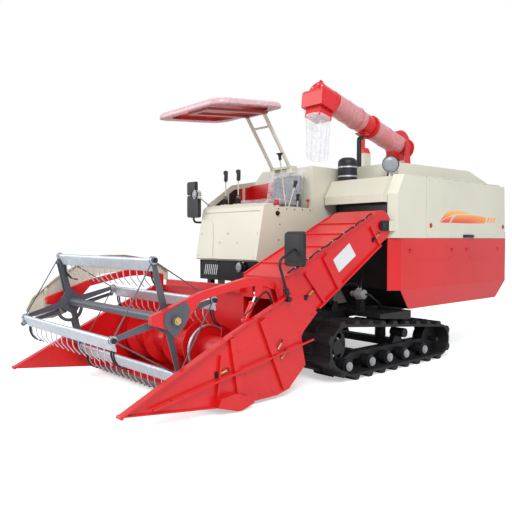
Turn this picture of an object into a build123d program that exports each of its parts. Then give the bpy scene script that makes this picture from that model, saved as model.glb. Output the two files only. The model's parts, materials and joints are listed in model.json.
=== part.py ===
"""Tracked combine harvester for rice and wheat, with a full-width header in front.

Millimetres. The origin is on the ground under the middle of the machine's overall box.
The machine faces -Y, +X is its left-hand side and +Z is up.
The threshing body and the feeder are on the left, the driver's platform, the engine and the
grain tank on the right, and the header swings about the top end of the feeder.
"""

import os
from math import cos, hypot, radians, sin

from build123d import *

os.makedirs("parts", exist_ok=True)

# ---------------------------------------------------------------- driving dimensions
# Tracks
track_width = 420
track_left_x = 775            # middle of the left track
track_right_x = -655          # middle of the right track
belt_thickness = 25
lug_height = 35
lug_root = 95
lug_tip = 50
lug_pairs = 22                # lugs on each half of the belt
sprocket_y = -424
sprocket_z = 310
sprocket_radius = 195
sprocket_holes = 8
idler_y = 1195
idler_radius = 145
roller_radius = 65
roller_ys = (-330, 20, 305, 595, 940)
carrier_y = 640
carrier_radius = 48
axle_radius = 22
cap_x = 165                   # the rollers' hub caps stand this far out from a track's middle
beam_low_z = 150
beam_high_z = 218
tie_ys = (-60, 780)           # beams that join the two track frames

# Chassis
frame_top_z = 585
frame_height = 80
rail_right_x = -360           # middles of the two long rails
rail_left_x = 480
rail_width = 80
member_ys = (-600, -180, 260, 700, 1140, 1560, 1830)
member_width = 70

# Header
header_half = 965             # outer faces of the header's side plates
side_plate = 14
divider_tip_y = -2722
divider_tip_z = 147
flange_width = 58             # the wide flange on top of each side plate
header_rear_y = -1181
feeder_gap = 2                # from the feeder to the inner face of the left side plate
feeder_width = 519
feeder_wall = 12
feeder_pivot_y = 150
feeder_pivot_z = 1440
feeder_pin_radius = 25
feeder_end_radius = 150
auger_y = -1440
auger_z = 335
auger_radius = 215
auger_drum_radius = 125
auger_pitch = 330
flight_thickness = 8
guard_pitch = 76
reel_y = -2235
reel_z = 729
reel_radius = 440
reel_inset = 159              # from a side plate's outer face to the middle of its spider
spider_plate = 10
first_bar = 14                # degrees above +Y of the first tine bar
tine_bar_radius = 17
slat_reach = 74
slat_edge_radius = 9
tine_drop = 210
tine_back = 95
tine_radius = 4.5
tines_per_bar = 15
eccentric_drop = 62           # the second spider's centre lies this far below the reel's
arm_inset = 60                # from a side plate's outer face to the middle of its reel arm
arm_width = 44
arm_pivot_y = -1235
arm_pivot_z = 915
arm_pin_radius = 14
shaft_radius = 22

# Threshing body
wall = 8
body_overhang = 20            # the left-hand panels stand this far outside the header
body_right_x = 130            # inner side, beside the grain tank
body_front_y = 434
body_rear_y = 2700
body_top_z = 1965
corner_cut = 80               # flat across the front left corner
panel_seam_z = 1318           # between the cream panels and the red ones
panel_low_z = 791
panel_thickness = 8
panel_gap = 5
door_front_y = 884
hinge_radius = 7
hinge_pin_radius = 3.5

# Grain tank, engine and driver's platform
station_right_x = -900
station_left_x = 110
station_front_y = -640
platform_top_z = 1084
tank_right_x = -880
tank_front_y = 70
tank_rear_y = 1900
tank_top_z = 2095
tank_bottom_z = 1120
seat_x = -215
seat_width = 470
seat_low_z = 1560
seat_clearance = 8            # from the cushion to the console beside it
console_top_z = 1640

canopy_pitch = 5.5            # degrees, front end down

# Lift cylinders: the (y, z) of each barrel's base pin and of each rod's eye
lift_x = 480
lift_base = (-50, 650)
lift_eye = (-413, 856)
lift_pin_radius = 12
reel_lift_base = (-1573, 663)
reel_lift_eye = (-1450, 872)
reel_lift_pin_radius = 7

# Unloading auger: the tube swings round a post on the grain tank
unload_x = 20
unload_y = 1765
unload_z = 2500
unload_radius = 122
unload_wall = 6
unload_rise = 15.1            # degrees
unload_length = 1590
unload_pin_radius = 20
head_half = 150
saddle_along = 720            # where the cradle holds the tube

# Fits
pin_play = 0.5
seat_play = 0.3

# Sizes that follow from those above
header_in = header_half - side_plate
feeder_left_x = header_in - feeder_gap
feeder_right_x = feeder_left_x - feeder_width
feeder_mid_x = (feeder_left_x + feeder_right_x) / 2
spider_x = header_half - reel_inset
arm_x = header_half - arm_inset
body_left_x = header_half + body_overhang
panel_in = body_left_x - panel_thickness
skin_x = panel_in - seat_play
low_z = frame_top_z - frame_height
console_right_x = seat_x + seat_width / 2 + seat_clearance


# ---------------------------------------------------------------- shape helpers
def close_face(outline, inset):
    """Fills the open sketch with a closed outline, drawn in by inset."""
    Polygon(*outline, align=None)
    if inset:
        offset(amount=-inset, kind=Kind.INTERSECTION)


def slab(outline, x_from, x_to, mode=Mode.ADD, inset=0):
    """A plate whose side outline is a list of (y, z), between two x planes."""
    with BuildSketch(Plane.YZ.offset(x_from)) as face:
        close_face(outline, inset)
    extrude(face.sketch, amount=x_to - x_from, mode=mode)


def tray(outline, z_from, z_to, mode=Mode.ADD, inset=0):
    """A block whose plan outline is a list of (x, y), between two heights."""
    with BuildSketch(Plane.XY.offset(z_from)) as face:
        close_face(outline, inset)
    extrude(face.sketch, amount=z_to - z_from, mode=mode)


def profile(outline, y_from, y_to, mode=Mode.ADD, inset=0):
    """A block whose front outline is a list of (x, z), between two y planes."""
    with BuildSketch(Plane.XZ.offset(-y_from)) as face:
        close_face(outline, inset)
    extrude(face.sketch, amount=-(y_to - y_from), mode=mode)


def block(x_from, x_to, y_from, y_to, z_from, z_to, mode=Mode.ADD):
    """A box between pairs of planes."""
    with Locations(((x_from + x_to) / 2, (y_from + y_to) / 2, (z_from + z_to) / 2)):
        Box(abs(x_to - x_from), abs(y_to - y_from), abs(z_to - z_from), mode=mode)


def rod(start, end, radius, mode=Mode.ADD):
    """A round bar between two points."""
    axis = Vector(*end) - Vector(*start)
    with BuildSketch(Plane(origin=start, z_dir=axis)) as face:
        Circle(radius)
    extrude(face.sketch, amount=axis.length, mode=mode)


def beam(start, end, width, depth, mode=Mode.ADD):
    """A rectangular bar between two points of one x plane; width is along x."""
    axis = Vector(*end) - Vector(*start)
    with BuildSketch(Plane(origin=start, x_dir=(1, 0, 0), z_dir=axis)) as face:
        Rectangle(width, depth)
    extrude(face.sketch, amount=axis.length, mode=mode)


def pipe(points, radius, bend):
    """A round bar through points, with its corners bent to one radius."""
    with BuildLine() as path:
        FilletPolyline(*points, radius=bend)
    with BuildSketch(Plane(origin=path.line @ 0, z_dir=path.line % 0)) as face:
        Circle(radius)
    sweep(face.sketch, path=path.line)


def disc(x_from, x_to, y, z, radius, mode=Mode.ADD):
    """A round plate or drum whose axis is parallel to X."""
    with BuildSketch(Plane.YZ.offset(x_from)) as face:
        with Locations((y, z)):
            Circle(radius)
    extrude(face.sketch, amount=x_to - x_from, mode=mode)


def post(x, y, z_from, z_to, radius, mode=Mode.ADD):
    """A round plate or post whose axis is upright."""
    with BuildSketch(Plane.XY.offset(z_from)) as face:
        with Locations((x, y)):
            Circle(radius)
    extrude(face.sketch, amount=z_to - z_from, mode=mode)


def capsule(x_from, x_to, ends):
    """A bar along x whose section is the hull of the circles (y, z, radius) in ends."""
    with BuildSketch(Plane.YZ.offset(x_from)) as face:
        for y, z, radius in ends:
            with Locations((y, z)):
                Circle(radius)
        make_hull()
    extrude(face.sketch, amount=x_to - x_from)


def mirror_head(x, y, z, width, height):
    """A driving mirror with rounded corners, its back at y."""
    with BuildSketch(Plane.XZ.offset(-y)) as head:
        with Locations((x, z)):
            RectangleRounded(width, height, 24)
    extrude(head.sketch, amount=40)


def polar(y, z, radius, degrees_up):
    """The point (y, z) moved by radius at an angle above +Y."""
    turn = radians(degrees_up)
    return (y + radius * cos(turn), z + radius * sin(turn))


def save(builder, name):
    """Labels a finished piece and writes its STEP file."""
    builder.part.label = name
    export_step(builder.part, f"parts/{name}.step")


# ---------------------------------------------------------------- tracks
belt_low_z = lug_height + belt_thickness
roller_z = belt_low_z + roller_radius
idler_z = belt_low_z + idler_radius
wheel_circles = (              # y, z, radius of the circles that the belt's inside hugs
    (sprocket_y, sprocket_z, sprocket_radius),
    (roller_ys[0], roller_z, roller_radius),
    (idler_y, idler_z, idler_radius),
)


def belt_face(extra):
    """The hull of the wheels' circles, each larger by extra, in the open sketch."""
    for y, z, radius in wheel_circles:
        with Locations((y, z)):
            Circle(radius + extra)
    make_hull()


def make_track(name, middle_x):
    """A rubber belt with two rows of lugs, one row staggered by half a pitch."""
    low_x = middle_x - track_width / 2
    with BuildSketch(Plane.YZ.offset(low_x)) as outer:
        belt_face(belt_thickness)
    with BuildSketch(Plane.YZ.offset(low_x)) as inner:
        belt_face(0)
    loop = outer.sketch.faces()[0].outer_wire()
    centre = Vector(low_x, (sprocket_y + idler_y) / 2, idler_z)
    with BuildPart() as track:
        extrude(outer.sketch, amount=track_width)
        for half in (0, 1):
            for n in range(lug_pairs):
                share = (n + 0.5 * half) / lug_pairs
                foot = loop.position_at(share)
                along = loop.tangent_at(share)
                out = Vector(1, 0, 0).cross(along)
                side = 1 if (foot - centre).dot(out) > 0 else -1
                lug_x = low_x + half * track_width / 2
                flat = Plane(origin=(lug_x, foot.Y, foot.Z), x_dir=along, z_dir=(1, 0, 0))
                with BuildSketch(flat) as lug:
                    close_face([
                        (-lug_root / 2, -side * belt_thickness / 2),
                        (-lug_root / 2, 0),
                        (-lug_tip / 2, side * lug_height),
                        (lug_tip / 2, side * lug_height),
                        (lug_root / 2, 0),
                        (lug_root / 2, -side * belt_thickness / 2),
                    ], 0)
                extrude(lug.sketch, amount=track_width / 2)
        extrude(inner.sketch, amount=track_width, mode=Mode.SUBTRACT)
    save(track, name)


make_track("track_left", track_left_x)
make_track("track_right", track_right_x)

# Track frames: beams through both belts, tied across under the machine, with their wheels
front_gusset = [(-365, 100), (-365, 160), (-200, beam_high_z), (-150, beam_high_z), (-150, 100)]
carrier_strut = [(540, beam_high_z - 10), (740, beam_high_z - 10), (665, 345), (615, 345)]
with BuildPart() as undercarriage:
    for middle_x, out in ((track_left_x, cap_x), (track_right_x, -cap_x)):
        block(middle_x - 55, middle_x + 55, -205, 1130, beam_low_z, beam_high_z)
        for side in (-1, 1):
            low = middle_x + side * 60 - 7
            slab(front_gusset, low, low + 14)
        block(middle_x - 40, middle_x + 40, 1120, 1200, idler_z - 40, idler_z + 40)
        slab(carrier_strut, middle_x - 30, middle_x + 30)
        for y in roller_ys:
            disc(middle_x - 150, middle_x - 75, y, roller_z, roller_radius - 1)
            disc(middle_x + 75, middle_x + 150, y, roller_z, roller_radius - 1)
            disc(middle_x - out, middle_x + out, y, roller_z, axle_radius)
            if y > roller_ys[0]:
                slab([(y - 50, roller_z - 40), (y - 40, 160), (y + 40, 160), (y + 50, roller_z - 40)],
                     middle_x - 50, middle_x + 50)
        disc(middle_x - 60, middle_x + 60, idler_y, idler_z, idler_radius - 1)
        disc(middle_x, middle_x + out, idler_y, idler_z, axle_radius)
        disc(middle_x - 0.24 * out, middle_x + 0.73 * out, carrier_y, 330, carrier_radius)
    for y in tie_ys:
        block(track_right_x, track_left_x, y - 55, y + 55, beam_low_z, 225)
        for x in (rail_right_x, rail_left_x):
            block(x - 40, x + 40, y - 45, y + 45, 220, low_z)
save(undercarriage, "track_frames")

with BuildPart() as hub_caps:
    for middle_x, out in ((track_left_x, cap_x), (track_right_x, -cap_x)):
        for y in roller_ys:
            disc(middle_x + out, middle_x + 1.07 * out, y, roller_z, 42)
            disc(middle_x + out, middle_x + 1.12 * out, y, roller_z, 26)
save(hub_caps, "roller_caps")

with BuildPart() as transmission:
    block(-250, 380, -560, -250, 300, low_z)
    for middle_x in (track_left_x, track_right_x):
        disc(middle_x - 50, middle_x + 50, sprocket_y, sprocket_z, sprocket_radius - 15)
        for n in range(sprocket_holes):
            hole = polar(sprocket_y, sprocket_z, 120, 360 / sprocket_holes * n)
            disc(middle_x - 60, middle_x + 60, *hole, 32, Mode.SUBTRACT)
        disc(middle_x - 90, middle_x + 110, sprocket_y, sprocket_z, 70)
    disc(track_right_x, track_left_x, sprocket_y, sprocket_z, 50)
save(transmission, "drive_gearbox")

# Chassis: two rails, the members between them and a shelf over each track
pump_x = (600, 700)
pump_y = 205
pump_z = 745
pump_radius = 48
shelf_low_z = 547
shelf_high_z = 575
with BuildPart() as chassis:
    for x in (rail_right_x, rail_left_x):
        block(x - rail_width / 2, x + rail_width / 2, -600, 1900, low_z, frame_top_z)
    for y in member_ys:
        block(rail_right_x, rail_left_x, y, y + member_width, low_z, frame_top_z)
    for y in (-600, 60, 1000, 1830):
        block(-890, rail_right_x, y, y + member_width, shelf_low_z, frame_top_z)
    block(rail_left_x, 580, 110, 520, shelf_low_z, shelf_high_z)
    slab([(110, shelf_high_z), (110, 532), (640, 482), (640, shelf_high_z)], 570, 965)
    block(rail_left_x, 700, 1000, 1070, low_z + 30, frame_top_z)
    block(pump_x[0] + 20, pump_x[1] - 20, pump_y - 35, pump_y + 35, shelf_high_z - 5, pump_z - pump_radius)
    for side in (-1, 1):
        x = lift_x + side * 50
        slab([(-100, frame_top_z), (-80, 680), (-20, 680), (0, frame_top_z)], x - 6, x + 6)
    block(lift_x - 56, lift_x + 56, -100, 0, frame_top_z - 5, frame_top_z + 8)
    disc(lift_x - 56, lift_x + 56, *lift_base, lift_pin_radius)
save(chassis, "chassis_frame")

with BuildPart() as pump:
    disc(*pump_x, pump_y, pump_z, pump_radius)
    disc(pump_x[0] - 60, pump_x[0], pump_y, pump_z, 30)
    disc(pump_x[1], pump_x[1] + 14, pump_y, pump_z, 34)
    block(pump_x[0] + 20, pump_x[1] - 20, pump_y - 30, pump_y + 30, pump_z - pump_radius, pump_z)
save(pump, "hydraulic_pump")


# ---------------------------------------------------------------- threshing body
def body_block(side, front, inset):
    """What is inside a side outline, a front outline and the body's plan, each drawn in by inset."""
    plan = [
        (body_right_x, body_front_y - 10),
        (skin_x, body_front_y - 10),
        (skin_x, body_rear_y + 10),
        (body_right_x, body_rear_y + 10),
    ]
    slab(side, 0, body_left_x, inset=inset)
    profile(front, body_front_y - 50, body_rear_y + 50, Mode.INTERSECT, inset)
    tray(plan, low_z, body_top_z + 50, Mode.INTERSECT, inset)


skirt = (35, 206)              # the lower panels turn in by this far, over this height
lower_side = [(body_front_y, panel_seam_z), (486, panel_low_z), (640, frame_top_z), (2500, frame_top_z),
              (body_rear_y, panel_low_z), (body_rear_y, panel_seam_z)]
lower_front = [(body_right_x, frame_top_z), (skin_x - skirt[0], frame_top_z), (skin_x, panel_low_z),
               (skin_x, panel_seam_z), (body_right_x, panel_seam_z)]
straw_outlet = (300, 760, 850, 1200)      # x from, x to, z from, z to
with BuildPart() as lower_inside:
    body_block(lower_side, lower_front, wall)
with BuildPart() as lower_body:
    body_block(lower_side, lower_front, 0)
    add(lower_inside.part, mode=Mode.SUBTRACT)
    block(*straw_outlet[:2], body_rear_y - 100, body_rear_y + 20, *straw_outlet[2:], Mode.SUBTRACT)
save(lower_body, "lower_body")

upper_side = [(body_front_y, panel_seam_z), (body_front_y, 1700), (575, 1939), (575, body_top_z), (2672, body_top_z),
              (body_rear_y, panel_seam_z)]
upper_front = [(body_right_x, panel_seam_z), (skin_x, panel_seam_z), (skin_x, body_top_z), (body_right_x, body_top_z)]
hinge_x = skin_x + 1
hinge_z = body_top_z + hinge_radius + 1
knuckles = [(door_front_y + 20 + 220 * n, door_front_y + 120 + 220 * n) for n in range(8)]
with BuildPart() as upper_inside:
    body_block(upper_side, upper_front, wall)
with BuildPart() as upper_body:
    body_block(upper_side, upper_front, 0)
    add(upper_inside.part, mode=Mode.SUBTRACT)
    rod((hinge_x, knuckles[0][0] - 20, hinge_z), (hinge_x, knuckles[-1][1] + 20, hinge_z), hinge_pin_radius)
    for start, end in knuckles[:-1]:
        rod((hinge_x, end + 10, hinge_z), (hinge_x, end + 110, hinge_z), hinge_radius)
        block(hinge_x - 12, skin_x, end + 10, end + 110, body_top_z - 4, hinge_z)
save(upper_body, "upper_body")

# Side panels: a cream panel and a cream door above one red panel
corner_x = body_left_x - corner_cut
corner_y = 311
cream_fold_y = 367
red_fold_y = 429
front_door_y = door_front_y - panel_gap
slope_low_z = 1765             # the corner leans back from this height
slope_depth = 91               # and is this far back at the top, square to its own face
slope_rise = (body_top_z - slope_low_z) / slope_depth
fold_length = hypot(corner_cut, cream_fold_y - corner_y)
fold_along = (corner_cut / fold_length, (cream_fold_y - corner_y) / fold_length)
fold_start = (corner_x - 200 * fold_along[0], corner_y - 200 * fold_along[1], 0)
slope_plane = Plane(origin=fold_start, x_dir=(-fold_along[1], fold_along[0], 0), z_dir=(*fold_along, 0))
slope_drop = panel_thickness * hypot(1, slope_rise)
slope_back = slope_depth + slope_drop / slope_rise
slope_ys = [corner_y + (slope_depth + (x - corner_x) * fold_along[1]) / fold_along[0]
            for x in (corner_x - panel_thickness, body_left_x)]
with BuildPart() as corner_slope:
    with BuildSketch(slope_plane) as slope_section:
        close_face([(0, slope_low_z), (slope_depth, body_top_z), (slope_back, body_top_z),
                    (0, slope_low_z - slope_drop)], 0)
    extrude(slope_section.sketch, amount=600)
    block(corner_x - panel_thickness, body_left_x, corner_y - 50, door_front_y, slope_low_z - 40, body_top_z,
          Mode.INTERSECT)
with BuildPart() as side_front:
    tray([(body_left_x, front_door_y), (body_left_x, cream_fold_y), (corner_x, corner_y),
          (corner_x - panel_thickness, corner_y + 2), (corner_x - panel_thickness, body_front_y - seat_play),
          (corner_x, body_front_y - seat_play), (corner_x, corner_y + 10), (panel_in, cream_fold_y + 4),
          (panel_in, front_door_y)], panel_seam_z + 2, body_top_z)
    with BuildSketch(slope_plane) as above_slope:
        close_face([(-60, slope_low_z - 60 * slope_rise), (slope_depth + 40, body_top_z + 40 * slope_rise),
                    (-60, body_top_z + 40 * slope_rise)], 0)
    extrude(above_slope.sketch, amount=600, mode=Mode.SUBTRACT)
    add(corner_slope.part)
    tray([(corner_x - panel_thickness, slope_ys[0]), (body_left_x, slope_ys[1]), (body_left_x, 575 - seat_play),
          (corner_x - panel_thickness, 575 - seat_play)], body_top_z - panel_thickness, body_top_z)
save(side_front, "side_front_panel")

with BuildPart() as side_door:
    slab([(door_front_y, panel_seam_z + panel_gap), (door_front_y, body_top_z), (2672, body_top_z),
          (2698, panel_seam_z + panel_gap)], panel_in, body_left_x)
    for start, end in knuckles:
        rod((hinge_x, start, hinge_z), (hinge_x, end, hinge_z), hinge_radius)
        block(panel_in, body_left_x - 2, start, end, body_top_z - 4, hinge_z)
        rod((hinge_x, start - 1, hinge_z), (hinge_x, end + 1, hinge_z), hinge_pin_radius + pin_play, Mode.SUBTRACT)
save(side_door, "side_door")

latch_ys = (603, 1430, 1758, 2524)
latch_z = 1188
pressing = [(671, 1085), (1338, 1074), (1399, 1122), (1776, 1119), (1836, 1070), (2640, 1062), (2640, 1067),
            (1838, 1075), (1778, 1124), (1397, 1127), (1336, 1079), (671, 1090)]
with BuildPart() as red_panel:
    tray([(body_left_x, 2709), (body_left_x, red_fold_y), (corner_x, corner_y),
          (corner_x - panel_thickness, corner_y + 2), (corner_x - panel_thickness, body_front_y - seat_play),
          (corner_x, body_front_y - seat_play), (corner_x, corner_y + 12), (panel_in, red_fold_y + 4),
          (panel_in, 2709)], panel_low_z, panel_seam_z - 2)
    block(corner_x - 20, corner_x + 1, corner_y + 20, 520, panel_low_z - 1, panel_low_z + 12, Mode.SUBTRACT)
    profile([(panel_in, panel_low_z), (body_left_x, panel_low_z), (body_left_x - skirt[0], frame_top_z),
             (body_left_x - skirt[0] - panel_thickness, frame_top_z)], red_fold_y, 2709)
    slab([(red_fold_y - 5, 560), (red_fold_y - 5, panel_low_z - 1), (640, 560)], 600, body_left_x + 5, Mode.SUBTRACT)
    slab([(2500, 560), (2709, panel_low_z), (2760, panel_low_z), (2760, 560)], 600, body_left_x + 5, Mode.SUBTRACT)
    slab(pressing, body_left_x - 3, body_left_x + 1, Mode.SUBTRACT)
    for y in latch_ys:
        block(body_left_x - 1, body_left_x + 7, y - 28, y + 28, latch_z - 22, latch_z + 22)
        block(body_left_x - 1, body_left_x + 16, y - 28, y + 28, latch_z + 12, latch_z + 22)
save(red_panel, "red_side_panel")

with BuildPart() as rear_cover:
    block(body_right_x, skin_x, body_rear_y, body_rear_y + 22, 1210, 1400)
    block(body_right_x, straw_outlet[0] - 10, body_rear_y, body_rear_y + 16, 800, 1210)
    block(straw_outlet[1] + 10, skin_x, body_rear_y, body_rear_y + 16, 800, 1210)
save(rear_cover, "rear_flange")

top_outline = [(640, body_top_z), (640, 2117), (2116, 2139), (2560, 2025), (2560, body_top_z)]
with BuildPart() as top_cover:
    slab(top_outline, body_right_x, 800)
    slab(top_outline, body_right_x + wall, 800 - wall, Mode.SUBTRACT, wall)
save(top_cover, "top_cover")

hood_left_x = corner_x - panel_thickness - 1
with BuildPart() as hood:
    slab([(243, 1680), (243, 1765), (361, 1944), (575, 1944), (575, 1939), (body_front_y, 1700), (body_front_y, 1680)],
         body_right_x, hood_left_x)
    slab([(251, 1670), (251, 1763), (366, 1936), (600, 1936), (560, 1900), (440, 1670)],
         body_right_x + wall, hood_left_x - wall, Mode.SUBTRACT)
    slab([(241, 1690), (241, 1766), (359, 1946), (366, 1946), (366, 1940), (247, 1762), (247, 1690)],
         feeder_right_x + 60, feeder_right_x + 68)
save(hood, "feeder_hood")

corner_wedge = [(corner_x, corner_y - seat_play), (body_left_x, cream_fold_y - seat_play), (body_left_x, 500),
                (corner_x, 500)]
with BuildPart() as feeder_mount:
    for x in (feeder_right_x - 22, feeder_left_x + 6):
        slab([(110, 1410), (110, 1470), (160, 1490), (body_front_y - 0.5, 1490), (body_front_y - 30, 1390),
              (160, 1390)], x, x + 14)
        disc(x, x + 14, feeder_pivot_y, feeder_pivot_z, 48)
        disc(x - 1, x + 15, feeder_pivot_y, feeder_pivot_z, feeder_pin_radius + pin_play, Mode.SUBTRACT)
    tray(corner_wedge, 1300, 1600, Mode.SUBTRACT)
save(feeder_mount, "feeder_brackets")

# ---------------------------------------------------------------- grain tank and engine
tank_left_x = station_left_x - 2
tank_front = [(tank_right_x, tank_bottom_z), (tank_right_x, 1930), (-690, tank_top_z), (tank_left_x, tank_top_z),
              (tank_left_x, tank_bottom_z)]
with BuildPart() as tank:
    profile(tank_front, tank_front_y, tank_rear_y)
    profile(tank_front, tank_front_y + wall, tank_rear_y - wall, Mode.SUBTRACT, wall)
save(tank, "grain_tank")

engine_floor_z = frame_top_z + wall
with BuildPart() as engine:
    block(-800, -80, 180, 860, engine_floor_z, 1080)
save(engine, "engine_block")

screen_y = 520
screen_z = 850
rooms = ((-18, 1000), (1000, 1900))       # y from, y to of the engine's room and of the one behind it
with BuildPart() as covers:
    block(station_right_x + 15, station_left_x, rooms[0][0], rooms[1][1], frame_top_z, tank_bottom_z)
    for start, end in rooms:
        block(station_right_x + 15 + wall, station_left_x - wall, start + wall, end - wall, engine_floor_z,
              tank_bottom_z - wall, Mode.SUBTRACT)
    disc(station_right_x, station_right_x + 16, screen_y, screen_z, 235)
    disc(station_right_x - 1, station_right_x + 10, screen_y, screen_z, 212, Mode.SUBTRACT)
    for y in (1180, 1500, 1820):
        block(station_right_x + 8, station_right_x + 16, y - 12, y + 12, frame_top_z + 60, tank_bottom_z - 60)
save(covers, "engine_covers")

# ---------------------------------------------------------------- driver's station
step_right_x = station_right_x - 20
with BuildPart() as platform:
    block(station_right_x, station_left_x, station_front_y, -20, platform_top_z - 24, platform_top_z)
    block(-460, -400, -600, -540, frame_top_z, 1060)
    block(40, 100, -600, -540, 700, 1060)
    block(-460, 100, -600, -540, 700, 760)
    block(-440, -320, -600, -540, frame_top_z, 760)
    block(-880, -820, -600, -540, frame_top_z, 1060)
    for y in (-420, -160):
        slab([(y, 620), (y, 1070), (y + 10, 1070), (y + 10, 620)], step_right_x, -800)
    for z in (640, 850):
        block(step_right_x, -800, -415, -155, z, z + 14)
save(platform, "platform")

cowl_side = [(-745, 1102), (station_front_y, console_top_z), (-600, 1672), (-520, 1672), (-500, console_top_z),
             (-500, platform_top_z), (-722, platform_top_z)]
cowl_low = (-745, 1102)
pressing_depth = 8
cowl_slope = hypot(station_front_y + 745, console_top_z - 1102)
cowl_away = (0, -(console_top_z - 1102) / cowl_slope, (station_front_y + 745) / cowl_slope)
cowl_pressing = [(-607, 12), (-640, 220), (-683, 370), (-720, 418), (-790, 436), (-860, 440), (-860, 505), (60, 505),
                 (60, 446), (9, 440), (-203, 405), (-265, 375), (-300, 320), (-355, 12)]   # x, height up the slope
with BuildPart() as cowl:
    slab(cowl_side, station_right_x, station_left_x)
    slab([(-722, 1110), (-622, 1630), (-590, 1654), (-522, 1654), (-490, console_top_z), (-490, 1080), (-700, 1080)],
         station_right_x + 12, station_left_x - 12, Mode.SUBTRACT)
    with BuildSketch(Plane(origin=(0, *cowl_low), x_dir=(1, 0, 0), z_dir=cowl_away)) as pressed:
        close_face(cowl_pressing, 0)
    extrude(pressed.sketch, amount=-pressing_depth, mode=Mode.SUBTRACT)
    block(station_right_x + 30, station_left_x - 170, -594, -524, 1670, 1678)
save(cowl, "front_cowl")

grille_pitch = 20
with BuildPart() as grille:
    block(-880, 90, -690, station_front_y, 870, 1082)
    for n in range(9):
        block(-870, 80, -700, -688, 884 + grille_pitch * n, 894 + grille_pitch * n)
    for x in (-880, -560, -240, 80):
        block(x, x + 10, -700, -688, 870, 1082)
save(grille, "front_grille")

pedestal_right_x = seat_x - 210
with BuildPart() as console:
    slab([(-500, platform_top_z), (-20, platform_top_z), (-20, tank_bottom_z), (tank_front_y, tank_bottom_z),
          (tank_front_y, console_top_z), (-500, console_top_z)], console_right_x, station_left_x)
    slab([(-492, platform_top_z + wall), (-28, platform_top_z + wall), (-28, tank_bottom_z + wall),
          (62, tank_bottom_z + wall), (62, console_top_z - wall), (-492, console_top_z - wall)],
         console_right_x + wall, station_left_x - wall, Mode.SUBTRACT)
    block(pedestal_right_x, console_right_x, -420, -20, platform_top_z, seat_low_z)
    block(pedestal_right_x, console_right_x, -21, 60, tank_bottom_z, seat_low_z)
    block(pedestal_right_x + wall, console_right_x - 1, -412, 52, tank_bottom_z + wall, seat_low_z - wall,
          Mode.SUBTRACT)
save(console, "seat_pedestal")

cushion_low_z = seat_low_z + seat_play
with BuildPart() as seat_cushion:
    block(seat_x - seat_width / 2, seat_x + seat_width / 2, -500, -62, cushion_low_z, 1700)
    fillet(seat_cushion.edges().filter_by(Axis.Z), 60)
save(seat_cushion, "seat_cushion")

with BuildPart() as seat_back:
    slab([(-60, cushion_low_z), (-20, 2030), (18, 2030), (58, cushion_low_z)], seat_x - seat_width / 2,
         seat_x + seat_width / 2)
    fillet(seat_back.edges().sort_by(Axis.Z)[-4:].filter_by(Axis.Y, reverse=True), 12)
save(seat_back, "seat_back")

lever_x = (console_right_x + station_left_x) / 2
console_levers = (             # x from the console's middle, foot y, grip y, grip z, lean of the grip, grip radius
    (-6, -290, -372, 2120, -8, 15),
    (10, -262, -178, 1850, 20, 14),
    (-6, -120, -110, 1716, 2, 12),
)
cowl_levers = ((-600, 2010), (-385, 2004))    # x, top z
with BuildPart() as levers:
    block(lever_x - 26, lever_x + 26, -320, -90, console_top_z, console_top_z + 8)
    for x, foot_y, grip_y, grip_z, lean, grip_radius in console_levers:
        foot = (lever_x + x, foot_y, console_top_z + 4)
        grip = (lever_x + x, grip_y, grip_z)
        rod(foot, grip, 7)
        rod(grip, (lever_x + x, grip_y + lean, grip_z + 70), grip_radius)
    for x, top_z in cowl_levers:
        block(x - 40, x + 40, -590, -528, 1678, 1686)
        rod((x, -560, 1682), (x, -556, 1760), 20)
        rod((x, -558, 1750), (x, -556, top_z - 60), 7)
        rod((x, -556, top_z - 70), (x, -548, top_z + 40), 19)
save(levers, "control_levers")

guard_side = [(-551, platform_top_z), (-551, 1708), (-212, 1941), (144, 2003), (501, 2027), (501, 1990), (144, 1950),
              (-190, 1890), (-490, 1680), (-490, platform_top_z)]
with BuildPart() as guard:
    slab(guard_side, station_right_x - 24, station_right_x)
    slab([(-500, 1400), (-500, 1680), (-190, 1895), (tank_front_y - 1, 1945), (tank_front_y - 1, 1400)],
         station_right_x - 24, station_right_x - 4)
    block(station_right_x - 24, station_right_x, -490, -40, platform_top_z, 1400)
    block(station_right_x - 24, station_right_x, -60, -20, 1400, 1950)
    slab([(-330, 1400), (-300, 1860), (-262, 1880), (-290, 1400)], station_right_x - 24, station_right_x)
save(guard, "side_guard")

# ---------------------------------------------------------------- canopy
roof_right_x = -1019
roof_left_x = 92
roof_front_y = -1204
roof_length = 915
roof_front_z = 2582
roof_depth = 64
roof_corner = 165
pitch = radians(canopy_pitch)
roof_origin = ((roof_right_x + roof_left_x) / 2, roof_front_y, roof_front_z)
roof_up = (0, -sin(pitch), cos(pitch))
with BuildPart() as roof:
    with BuildSketch(Plane(origin=roof_origin, x_dir=(1, 0, 0), z_dir=roof_up)) as roof_plan:
        with Locations((0, roof_length / 2)):
            RectangleRounded(roof_left_x - roof_right_x, roof_length, roof_corner)
    extrude(roof_plan.sketch, amount=roof_depth)
    fillet(roof.faces().sort_by(Axis(roof_origin, roof_up))[-1].edges(), 42)
save(roof, "canopy_roof")

rail_depth = 25


def rail_z(y):
    """The height of the middle of a canopy rail that runs just under the pitched roof."""
    return roof_front_z + (y - roof_front_y) * sin(pitch) / cos(pitch) - rail_depth / 2 - seat_play - 0.1


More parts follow.
